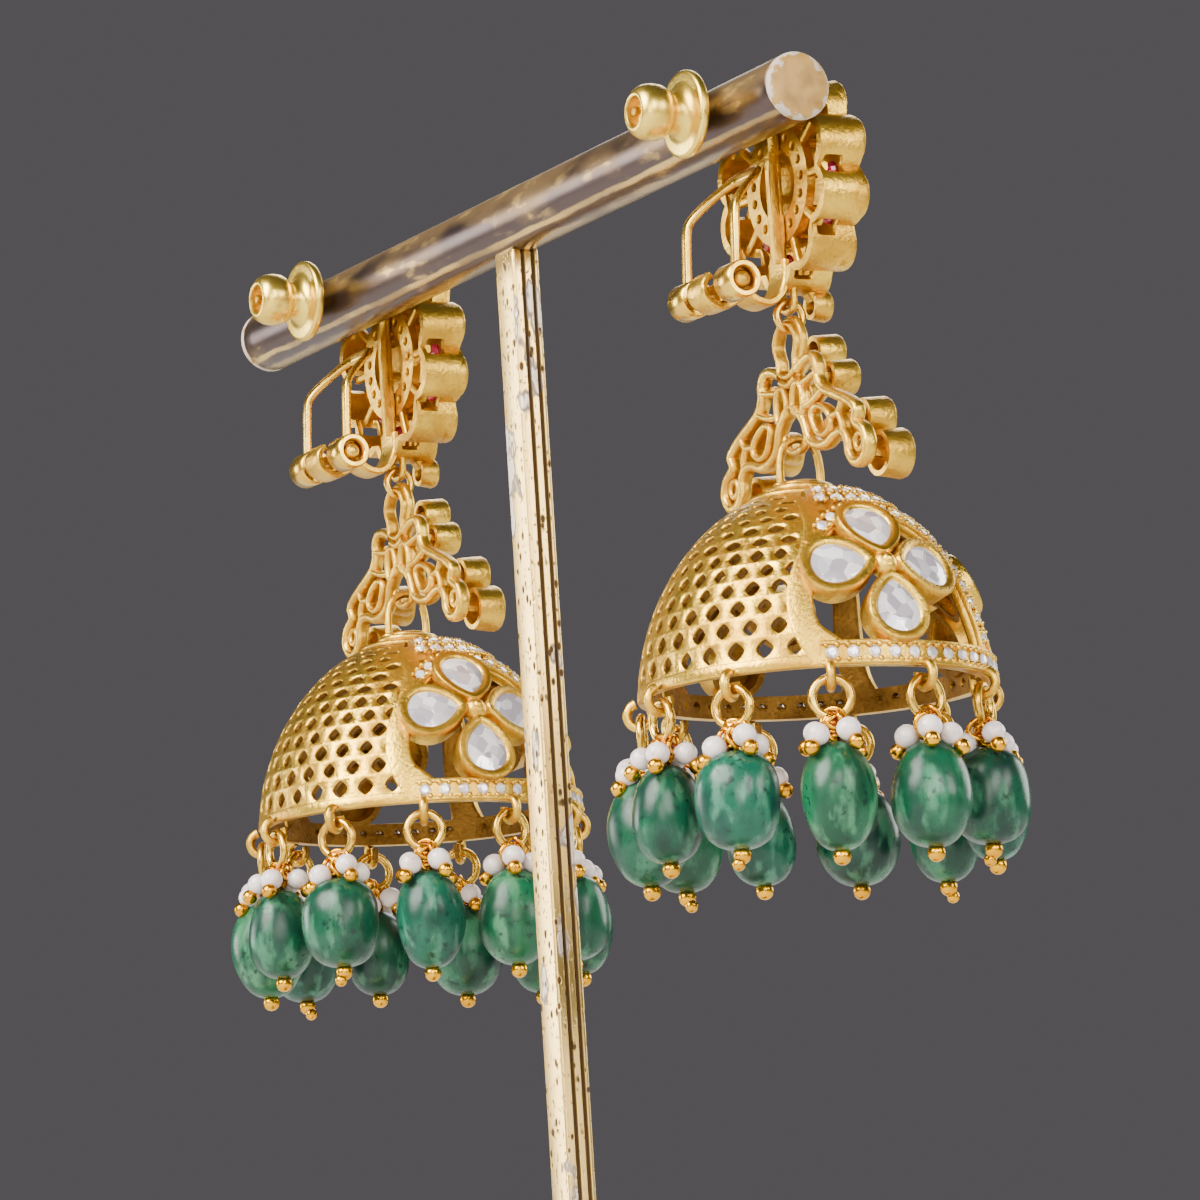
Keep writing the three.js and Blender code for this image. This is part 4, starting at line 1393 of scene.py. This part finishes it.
@dataclass
class Dome:
    """The bell: a pierced back, flower windows between set ribs, a set rim and hooks."""

    place: Place
    palette: Palette
    rim_z: float = -54.0
    radius: float = 16.25
    height: float = 19.0
    bulge: float = 1.8
    wall: float = 0.85
    back_half: float = 60.0
    windows: tuple[tuple[float, float, float], ...] = ((-90, -117, -45), (0, -45, 45), (90, 45, 117))
    heart: float = 9.7
    petal_length: float = 6.0
    petal_width: float = 5.5
    drops: int = 11
    hook_circle: float = 16.1
    hook_drop: float = 0.85
    hook_radius: float = 1.15
    hook_gauge: float = 0.4
    arc: Array = field(init=False)
    table: Array = field(init=False)

    def __post_init__(self) -> None:
        """Tabulates the meridian: r = R sqrt(1 - (h/H)^b), with arc length from the rim up."""
        h = self.height * (1 - (1 - np.linspace(0, 1, 400)) ** 2)
        r = self.radius * np.sqrt(np.clip(1 - (h / self.height) ** self.bulge, 0, 1))
        step = np.hypot(np.diff(r), np.diff(h))
        self.arc = np.concatenate([[0], np.cumsum(step)])
        tangent = unit(np.stack([np.gradient(r), np.gradient(h)], -1))
        self.table = np.stack([r, h, tangent[:, 1], -tangent[:, 0]])

    def at(self, azimuth: Array, s: Array, lift: Array) -> Array:
        """Points on the bell.

        Args:
            azimuth: radians from the front, -Y, towards +X.
            s: arc length up the meridian from the rim.
            lift: height over the outer face, along its normal.
        Returns:
            The points.
        """
        r, h, nr, nh = (np.interp(s, self.arc, row) for row in self.table)
        out = r + nr * lift
        return np.stack([out * np.sin(azimuth), self.place.hang_y - out * np.cos(azimuth),
                         self.rim_z + h + nh * lift], -1)

    def normal(self, azimuth: Array, s: Array) -> Array:
        """Outward normals on the bell."""
        return unit(self.at(azimuth, s, 1.0) - self.at(azimuth, s, 0.0))

    def build(self) -> None:
        """Makes the pierced back, the frame, and the stones."""
        side, body = self.place.side, f"{self.place.side}_dome"
        frame_parts = [*self._bands(), *self._ribs(), *self._flower_cups(), *self._hooks(), *self._bail()]
        # faces that look towards the bell's middle get the painted shade gold
        middle = self.place.origin + [0, self.place.hang_y, self.rim_z + 4.0]
        self.palette.make(f"{side}_dome_frame", self.place.put(frame_parts), Slot.CAST, body,
                          [f"{side}_dome"], 45, Lining(self.palette.lining, middle, 0.45))
        self.palette.make(f"{side}_dome_lattice", self.place.put(self._lattice()), Slot.CAST, body, (), 55,
                          Lining(self.palette.lining, middle, -0.5))
        self.palette.make(f"{side}_dome_grains", self.place.put(self._grains()), Slot.CAST, body, crease=60)
        self.palette.make(f"{side}_dome_polki", self.place.put(self._flower_stones()), Slot.WHITE, body,
                          crease=8)
        make_piece(f"{side}_dome_pave", self.place.put(self._pave()), self.palette.pave, body,
                   crease=8)

    def _lattice(self) -> list[Solid]:
        """Pierced back in three belts, with fewer and flatter holes in each as the bell narrows."""
        half = math.radians(self.back_half)
        rows = 1.05 + np.concatenate([[0], np.cumsum(np.linspace(2.15, 1.15, 13))])
        belts = []
        tables = [(0, 6, 12, 0.53, 0.74, 1.35), (6, 10, 9, 0.58, 0.62, 1.6), (10, 13, 6, 0.68, 0.46, 2.0)]
        for first, last, cells, wide, tall, power in tables:
            def hole(i: int, j: int, wide: float = wide, tall: float = tall, power: float = power,
                     first: int = first) -> tuple[float, float, float]:
                """A diamond with a slightly uneven size."""
                wobble = 0.05 * math.sin(5.1 * i + 2.3 * (j + first))
                return (wide + wobble, tall + wobble, power)

            belts.append(Pierced(math.pi + np.linspace(-half, half, cells + 1), rows[first:last + 1], hole,
                                 lambda u, v, w: self.at(u, v, -w * self.wall), staggered=True).solid())
        return belts

    def _strip(self, azimuth: Array, s: Array, width: Union[float, Array], low: float, high: float,
               closed: bool = False) -> Solid:
        """A band laid along a line on the bell, from `low` to `high` over its outer face."""
        path = self.at(azimuth, s, np.zeros_like(s))
        up = self.normal(azimuth, s)
        span = np.broadcast_to(np.asarray(width, float), s.shape)
        section = soft_section(1.0, high - low, 14, 5) + [0, (high + low) / 2]
        body = carried(path, section * [1, 0] , up, closed)
        grow = np.repeat(span, len(section))
        centre = np.repeat(path, len(section), 0)
        lift = np.tile(section[:, 1], len(path))[:, None] * np.repeat(up, len(section), 0)
        count = len(path) * len(section)
        points = centre + (body.points[:count] - centre) * grow[:, None] + lift
        if not closed:
            ends = np.stack([points[:len(section)].mean(0), points[-len(section):].mean(0)])
            points = np.concatenate([points, ends])
        return Solid(points, body.faces)

    def _bands(self) -> list[Solid]:
        """Rim band, the plain lower border of the back, and the crown round the apex."""
        full = np.linspace(0, 2 * math.pi, 144, endpoint=False)
        parts = [self._strip(full, np.full(144, 0.6), 1.2, -self.wall, 0.06, True)]
        front = self._front_span(1.5)
        cells = np.linspace(front[0], front[-1], int((front[-1] - front[0]) * self.radius / 1.95) + 1)
        parts.append(Pierced(cells, np.array([0.0, 0.5, 1.85, 2.3]),
                             lambda i, j: (0.42, 0.6, 2.0) if j == 1 else None,
                             lambda u, v, w: self.at(u, v, 0.3 - w * (self.wall + 0.35))).solid())
        for s in (0.28, 2.05):
            parts.append(self._strip(front, np.full(len(front), s), 0.4, 0.2, 0.55))
        front_crown = np.linspace(-self.windows[-1][2], self.windows[-1][2], 61) * math.pi / 180
        parts.append(Pierced(front_crown, np.array([17.4, 18.8, 20.2, 21.5, 22.7]), lambda i, j: None,
                             lambda u, v, w: self.at(u, v, 0.1 - w * (self.wall + 0.1))).solid())
        line = [(self.table[0][k], self.table[1][k]) for k in
                np.searchsorted(self.arc, np.linspace(22.3, self.arc[-1] - 0.01, 8))]
        inner = [(max(r - 0.55, 1e-4), h - self.wall) for r, h in line[::-1]]
        crown = turned([(line[0][0], line[0][1]), *line[1:-1], (1e-4, self.height),
                        (1e-4, self.height - self.wall),
                        *inner[1:], (line[0][0], line[0][1])], 72)
        parts.append(crown.moved((0, self.place.hang_y, self.rim_z)))
        for radius, gauge, height in ((2.7, 0.42, 18.9), (1.7, 0.36, 19.35), (4.6, 0.3, 18.1)):
            a = np.linspace(0, 2 * math.pi, 48, endpoint=False)
            path = np.stack([radius * np.cos(a), self.place.hang_y + radius * np.sin(a),
                             np.full(48, self.rim_z + height)], -1)
            parts.append(carried(path, round_section(gauge, 10), (0, 0, 1), True))
        return parts

    def _front_span(self, per_mm: float) -> Array:
        """Azimuths of the front part, evenly spaced."""
        half = math.radians(self.windows[-1][2])
        count = int(2 * half * self.radius * per_mm)
        return np.linspace(-half, half, count)

    def _rib_azimuths(self) -> Array:
        """Azimuths of the ribs at the windows' sides."""
        return np.radians([self.windows[0][1], *(high for _, _, high in self.windows)])

    def _sway(self, azimuth: float, s: Array) -> Array:
        """How far a rib leaves its azimuth as it climbs: one slow wave."""
        outer = abs(azimuth) > math.pi / 2
        return (0.07 if outer else 0.03) * np.sin((s - 2) / 18 * 2 * math.pi) * np.sign(azimuth)

    def _ribs(self) -> list[Solid]:
        """A tapering rib up each window's side, plain ones where the back begins, and arches."""
        parts = []
        s = np.linspace(0.6, 20.4, 44)
        r = np.interp(s, self.arc, self.table[0])
        for azimuth in self._rib_azimuths():
            outer = abs(azimuth) > math.pi / 2
            line = azimuth + self._sway(azimuth, s)
            foot = np.exp(-((s - 1.0) / 1.6) ** 2)
            if outer:
                line = line + math.copysign(0.035, azimuth) - math.copysign(0.05, azimuth) * foot
            width = np.clip((2.6 if outer else 2.7) * (r / self.radius) ** 0.6, 1.4, None) + foot * 1.2
            parts.append(self._strip(line, s, width, -self.wall - 0.04, 0.05 if outer else 0.2))
            if not outer:
                for edge in (-1, 1):
                    parts.append(self._strip(line + edge * (width / 2 - 0.2) / np.maximum(r, 2), s, 0.4,
                                             0.0, 0.5))
        for _, low, high in self.windows:
            line, arc = self._arch_line(low, high, 1.0)
            parts += [self._strip(line, arc, 1.9, -self.wall, 0.2),
                      self._strip(line, arc - 0.85, 0.4, 0.0, 0.5)]
        return parts

    def _arch_line(self, low: float, high: float, share: float) -> tuple[Array, Array]:
        """The round head of a window: s falls with the cube of the distance to its middle."""
        t = np.linspace(-share, share, 40)
        half = math.radians(high - low) / 2
        return math.radians(low + high) / 2 + half * t, 17.2 - 4.6 * np.abs(t) ** 3

    def _window_azimuths(self) -> Array:
        """Azimuth of each window's flower."""
        return np.radians([flower for flower, _, _ in self.windows])

    def _petals(self) -> list[tuple[Array, Array, Array]]:
        """(place, outward, towards the heart) of every petal stone."""
        seats = []
        heart = self.heart
        for centre in self._window_azimuths():
            r = np.interp(heart, self.arc, self.table[0])
            for along, up in ((4.35, 0.0), (-4.35, 0.0), (0.0, 4.3), (0.0, -4.35)):
                s = np.array(heart + up)
                azimuth = np.array(centre + along / r)
                place = self.at(azimuth, s, 0.75)
                middle = self.at(np.array(centre), np.array(heart), 0.75)
                seats.append((place, self.normal(azimuth, s), middle - place))
        return seats

    def _flower_cups(self) -> list[Solid]:
        """Four pear cups round a small ball in each window."""
        cup = Collet(pear_outline(self.petal_length, self.petal_width, 44), 2.3, 0.55).cup()
        parts = [laid(cup, place, outward, inward) for place, outward, inward in self._petals()]
        for centre in self._window_azimuths():
            for lift, size in ((0.3, 1.25), (1.2, 0.6)):
                parts.append(ball(size, 18, 9, self.at(np.array(centre), np.array(self.heart), lift)))
        return parts

    def _flower_stones(self) -> list[Solid]:
        """A pear stone in each cup."""
        stone = Collet(pear_outline(self.petal_length, self.petal_width, 13), 2.3, 0.55).stone()
        return [laid(stone, place, outward, inward) for place, outward, inward in self._petals()]

    def _set_line(self, azimuth: Array, s: Array, pitch: float) -> tuple[Array, Array, Array]:
        """Evenly spaced seats along a line on the bell.

        Args:
            azimuth: the line's azimuths.
            s: its arc lengths.
            pitch: distance between seats.
        Returns:
            Places, outward directions and directions along the line.
        """
        path = self.at(azimuth, s, np.zeros_like(s))
        run = np.concatenate([[0], np.cumsum(np.linalg.norm(np.diff(path, axis=0), axis=1))])
        marks = np.arange(pitch / 2, run[-1], pitch)
        a, b = np.interp(marks, run, azimuth), np.interp(marks, run, s)
        ahead = self.at(np.interp(marks + 0.1, run, azimuth), np.interp(marks + 0.1, run, s), 0.0)
        place = self.at(a, b, 0.0)
        return place, self.normal(a, b), ahead - place

    def _lines(self) -> list[tuple[Array, Array, float, float]]:
        """(azimuth, s, pitch, width) of each line of small stones."""
        lines = []
        front = self._front_span(1.5)
        lines.append((front, np.full(len(front), 1.17), 1.95, 1.35))
        s = np.linspace(2.6, 17.0, 40)
        for azimuth in self._rib_azimuths()[1:-1]:
            lines.append((azimuth + self._sway(azimuth, s), s, 1.7, 1.5))
        for _, low, high in self.windows:
            line, arc = self._arch_line(low, high, 0.9)
            lines.append((line, arc + 0.15, 1.55, 1.2))
        for height in (19.3, 21.2):
            lines.append((front * 0.97, np.full(len(front), height), 1.55, 1.3))
        return lines

    def _pave(self) -> list[Solid]:
        """Round stones along the rim, the ribs and the arches."""
        stone = cut_stone(round_outline(0.62, 8), 0.26, 0.55, 0.4)
        parts = []
        for azimuth, s, pitch, _ in self._lines():
            place, outward, ahead = self._set_line(azimuth, s, pitch)
            parts.append(scattered(stone, place + outward * 0.36, outward, ahead))
        return parts

    def _grains(self) -> list[Solid]:
        """Gold grains that hold the small stones, in pairs between them."""
        grain = ball(0.27, 8, 4)
        parts = []
        for azimuth, s, pitch, width in self._lines():
            place, outward, ahead = self._set_line(azimuth, s, pitch / 2)
            side = unit(np.cross(outward, ahead))
            size = 0.85 + 0.3 * np.abs(np.sin(7.3 * np.arange(len(place))))
            for k in (-1, 1):
                spot = place + outward * 0.42 + side * (k * width * 0.5)
                parts.append(scattered(grain, spot, outward, ahead, size))
        return parts

    def drop_azimuth(self, i: int) -> float:
        """Azimuth from the front of hook number i."""
        return (i + 0.5) * 2 * math.pi / self.drops

    def _hooks(self) -> list[Solid]:
        """A curl of wire under the rim for each drop, square to the rim."""
        parts = []
        for i in range(self.drops):
            a = np.radians(np.linspace(-200, 75, 22))
            out = self.hook_circle + 0.15 + 1.12 * np.cos(a)
            z = self.rim_z - self.hook_drop + self.hook_radius * np.sin(a)
            azimuth = self.drop_azimuth(i)
            path = np.stack([out * math.sin(azimuth), self.place.hang_y - out * math.cos(azimuth), z], -1)
            gauge = np.linspace(1.0, 1.25, 22)
            parts.append(carried(path, round_section(0.38, 10), scale=gauge))
        return parts

    def _bail(self) -> list[Solid]:
        """Wire bow over the crown that hangs on the connector, on two ribbed feet."""
        y, crown, foot = self.place.hang_y, self.place.dip_z + 1.15, self.rim_z + self.height - 0.6
        bow = wire([(0, y - 2.05, foot), (0, y - 2.1, crown - 2.7), (0, y - 1.6, crown - 0.8), (0, y, crown),
                    (0, y + 1.6, crown - 0.8), (0, y + 2.1, crown - 2.7), (0, y + 2.05, foot)], 0.38, 7)
        rings = [ring_wire((0, y + s * 2.08, foot + lift), 0.5, 0.24, 2, 16) for s in (-1, 1)
                 for lift in (0.5, 0.95)]
        return [bow, *rings]


@dataclass
class Drops:
    """Eleven drops under the rim: ring, wrapped wire, pearls, bead and end balls."""

    place: Place
    palette: Palette
    dome: Dome
    ring: float = 1.75
    gauge: float = 0.42
    play: float = 0.12
    bead_radius: float = 3.6
    bead_length: float = 9.4
    bead_top: float = -4.0

    def build(self) -> None:
        """Makes one bead piece for each drop, and the rings, wraps, balls and pearls joined."""
        side, body, count = self.place.side, f"{self.place.side}_dome", self.dome.drops
        rings, shots, pearls = [], [], []
        for i in range(count):
            rings.append(self._put(i, [ring_wire((0, 0, 0), self.ring, self.gauge, 1)]))
            shots.append(self._put(i, self._wraps(i) + self._balls(i)))
            pearls.append(self._put(i, self._pearls(i)))
            shade = self.palette.beads[(i * 3 + (side == "right")) % len(self.palette.beads)]
            make_piece(f"{side}_bead_{i + 1:02d}", self.place.put([self._put(i, [self._bead(i)])]), shade,
                       body, [f"{side}_drop_{i + 1:02d}"], crease=80)
        self.palette.make(f"{side}_jump_rings", self.place.put(rings), Slot.WIRE, body)
        self.palette.make(f"{side}_wraps_and_balls", self.place.put(shots), Slot.SHOT, body, crease=60)
        self.palette.make(f"{side}_pearls", self.place.put(pearls), Slot.PEARL, body, crease=80)

    def _put(self, i: int, parts: Sequence[Solid]) -> Solid:
        """Moves a drop's solids, drawn with the ring's middle at nought, under its hook."""
        azimuth = self.dome.drop_azimuth(i)
        c, s = math.cos(azimuth), math.sin(azimuth)
        turn = np.array([[c, s, 0], [s, -c, 0], [0, 0, 1.0]])
        radius = self.dome.hook_circle
        hook = self.dome.rim_z - self.dome.hook_drop - self.dome.hook_radius + self.dome.hook_gauge
        z = hook + self.gauge + self.play - self.ring
        place = (radius * math.sin(azimuth), self.place.hang_y - radius * math.cos(azimuth), z)
        return joined(parts).mapped(turn).moved(place)

    def _half(self, i: int) -> float:
        """Half the length of bead i."""
        return self.bead_length / 2 + 0.3 * math.cos(1.7 * i)

    def _bead(self, i: int) -> Solid:
        """A tumbled oval: superellipse profile, with slow waves round and along it."""
        half, radius = self._half(i), self.bead_radius + 0.3 * math.sin(2.4 * i)
        v = np.linspace(-math.pi / 2, math.pi / 2, 30)
        share = np.sign(np.sin(v)) * np.abs(np.sin(v)) ** 0.96
        across = np.clip(np.cos(v), 0, 1) ** 0.82
        a = np.linspace(0, 2 * math.pi, 48, endpoint=False)
        wave = (1 + 0.035 * np.sin(2 * a[None] + 1.3 * i)
                + 0.025 * np.sin(3 * a[None] + 2.1 * i + 2 * share[:, None]))
        wave = wave + 0.03 * np.sin(3.0 * share[:, None] + 1.9 * i)
        r = radius * across[:, None] * wave
        r = np.maximum(r, 0.34)
        z = self.bead_top - half + half * share
        lean = 0.12 * math.sin(3.7 * i)
        rings = np.stack([r * np.cos(a) + lean * (1 - share[:, None] ** 2), r * np.sin(a),
                          np.repeat(z[:, None], 48, 1)], -1)
        return capped(rings)

    def _wraps(self, i: int) -> list[Solid]:
        """Headpin loop over the ring, its wound neck, and the thinner loops of the pearls."""
        t = np.linspace(0, 1, 70)
        turns = 3.5 * 2 * math.pi * t + i
        neck = np.stack([(0.42 + 0.3 * t) * np.cos(turns), (0.42 + 0.3 * t) * np.sin(turns),
                         -self.ring - 0.5 - 1.45 * t], -1)
        coil = carried(neck, round_section(0.19, 7))
        around = 2 * math.pi * t
        loops = []
        for k in range(7):
            size = 0.85 + 0.25 * math.sin(2.3 * k + i)
            flat = np.stack([size * np.cos(around) + 0.4 * (k % 3), 0.35 * np.sin(2 * around + k),
                             size * np.sin(around) * 0.9], -1)
            height = -self.ring - 0.15 - 0.22 * k
            loops.append(carried(flat @ self._spin(0.9 * i + 0.9 * k) + [0, 0, height],
                                 round_section(0.24, 7)))
        pin = carried(np.array([[0, 0, -self.ring - 0.4], [0, 0, self.bead_top - 2 * self._half(i) - 0.4]]),
                      round_section(0.3, 8))
        return [coil, pin, *loops]

    @staticmethod
    def _spin(angle: float) -> Array:
        """Rotation about Z, for row vectors."""
        c, s = math.cos(angle), math.sin(angle)
        return np.array([[c, s, 0], [-s, c, 0], [0, 0, 1.0]])

    def _pearl_places(self, i: int) -> Array:
        """Places of the small pearls round the neck, each a little different."""
        count = 4
        a = (np.arange(count) + 0.5) * 2 * math.pi / count + 0.22 * np.sin(1.9 * i + np.arange(count) * 2.3)
        r = 2.0 + 0.18 * np.sin(2.7 * i + np.arange(count) * 1.7)
        z = self.bead_top + 0.75 + 0.4 * np.sin(1.3 * i + np.arange(count) * 2.9)
        return np.stack([r * np.cos(a), r * np.sin(a), z], -1)

    def _pearls(self, i: int) -> list[Solid]:
        """The pearls, slightly flattened."""
        return [ball(1.12 + 0.05 * math.sin(3.1 * i + k), 20, 11, place, 0.95)
                for k, place in enumerate(self._pearl_places(i))]

    def _balls(self, i: int) -> list[Solid]:
        """End balls of the pearls and of the bead, with the pearls' pins."""
        parts = []
        for place in self._pearl_places(i):
            out = unit(np.array([place[0], place[1], 0.0]))
            tip = place + out * 0.95 + np.array([0, 0, -1.25])
            parts.append(ball(0.76, 16, 9, tip))
            pin = np.stack([place * [0.25, 0.25, 1] + [0, 0, 1.3], place, tip])
            parts.append(carried(pin, round_section(0.17, 6)))
        bottom = self.bead_top - 2 * self._half(i)
        parts.append(ball(0.84, 18, 9, (0, 0, bottom - 0.45)))
        if i % 3 == 0:
            parts.append(ball(0.62, 18, 9, (0.5 * math.sin(i), 0.5 * math.cos(i), bottom - 1.3)))
        return parts


# ---------------------------------------------------------------- studio


@dataclass(frozen=True)
class Lamp:
    """A round soft light: its place and size in metres, power in watts, and colour."""

    name: str
    place: tuple[float, float, float]
    size: float
    power: float
    colour: Colour


LAMPS = (
    Lamp("key", (-0.14, 0.80, 0.72), 0.80, 34.0, (1.0, 0.97, 0.92)),
    Lamp("camera_side", (-0.80, 0.20, 0.42), 0.40, 4.5, (1.0, 0.97, 0.94)),
    Lamp("fill", (-0.66, -0.26, 0.34), 0.30, 2.6, (1.0, 0.96, 0.92)),
    Lamp("back", (0.66, 0.48, 0.24), 0.30, 2.6, (1.0, 0.98, 0.96)),
    Lamp("rim", (0.45, -0.35, 0.50), 0.35, 1.6, (0.97, 0.97, 1.0)),
    Lamp("front", (0.05, -0.70, 0.35), 0.45, 3.2, (1.0, 0.98, 0.95)),
    Lamp("low", (-0.42, 0.30, 0.20), 0.20, 0.8, (1.0, 0.93, 0.84)),
)


@dataclass
class Studio:
    """Camera, soft lights, pale floor and plain surroundings."""

    target: tuple[float, float, float] = (-12.9, 0.0, 135.2)
    distance: float = 680.7
    azimuth: float = -118.0
    elevation: float = -9.26
    roll: float = 3.6
    focal: float = 213.6

    def build(self) -> None:
        """Sets everything up."""
        self._camera()
        self._floor()
        self._lights()
        self._world()

    def _camera(self) -> None:
        """Puts the camera on a sphere about its target and rolls it."""
        a, e = math.radians(self.azimuth), math.radians(self.elevation)
        back = Vector((math.sin(a) * math.cos(e), -math.cos(a) * math.cos(e), math.sin(e)))
        data = bpy.data.cameras.new("camera")
        data.sensor_width, data.lens = 36.0, self.focal
        data.clip_start, data.clip_end = 0.01, 20.0
        camera = bpy.data.objects.new("camera", data)
        bpy.context.scene.collection.objects.link(camera)
        roll = Matrix.Rotation(math.radians(-self.roll), 4, "Z")
        turn = back.to_track_quat("Z", "Y").to_matrix().to_4x4() @ roll
        camera.matrix_world = Matrix.Translation((Vector(self.target) + back * self.distance) * MM) @ turn
        bpy.context.scene.camera = camera

    def _floor(self) -> None:
        """A wide pale sheet under the stand."""
        mesh = bpy.data.meshes.new("floor")
        mesh.from_pydata([(-3, -3, 0), (3, -3, 0), (3, 3, 0), (-3, 3, 0)], [], [(0, 1, 2, 3)])
        mesh.materials.append(FloorFinish().material())
        floor = bpy.data.objects.new("floor", mesh)
        bpy.context.scene.collection.objects.link(floor)

    def _lights(self) -> None:
        """Seven soft lights, all turned to the camera's target and hidden from it."""
        aim = Vector(self.target) * MM
        for lamp in LAMPS:
            data = bpy.data.lights.new(lamp.name, "AREA")
            data.shape, data.size, data.energy, data.color = "DISK", lamp.size, lamp.power, lamp.colour
            made = bpy.data.objects.new(lamp.name, data)
            made.location = lamp.place
            made.rotation_euler = (Vector(lamp.place) - aim).to_track_quat("Z", "Y").to_euler()
            made.visible_camera = False
            bpy.context.scene.collection.objects.link(made)

    def _world(self) -> None:
        """Plain grey surroundings."""
        world = bpy.data.worlds.new("studio")
        world.use_nodes = True
        shade = world.node_tree.nodes["Background"]
        shade.inputs["Color"].default_value = (0.36, 0.34, 0.36, 1.0)
        shade.inputs["Strength"].default_value = 0.26
        bpy.context.scene.world = world


def main() -> None:
    """Builds the stand, both earrings and the studio, in that order."""
    logging.basicConfig(level=logging.INFO, format="%(name)s %(message)s")
    low, high = (np.array(v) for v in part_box("stand_bar"))
    radius, height = (high[2] - low[2]) / 2, (high[2] + low[2]) / 2
    palette = Palette(radius, height)
    places = [Place.read(side) for side in ("left", "right")]
    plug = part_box("stand_cap_right")[1][0]
    Stand(palette, radius / MM, height / MM, plug / MM, hole_places=[p.origin[0] for p in places]).build()
    for place in places:
        EarTop(place, palette).build()
        OmegaClip(place, palette).build()
        Clutch(place, palette).build()
        Connector(place, palette).build()
        dome = Dome(place, palette)
        dome.build()
        Drops(place, palette, dome).build()
    Studio().build()


if __name__ == "__main__":
    main()
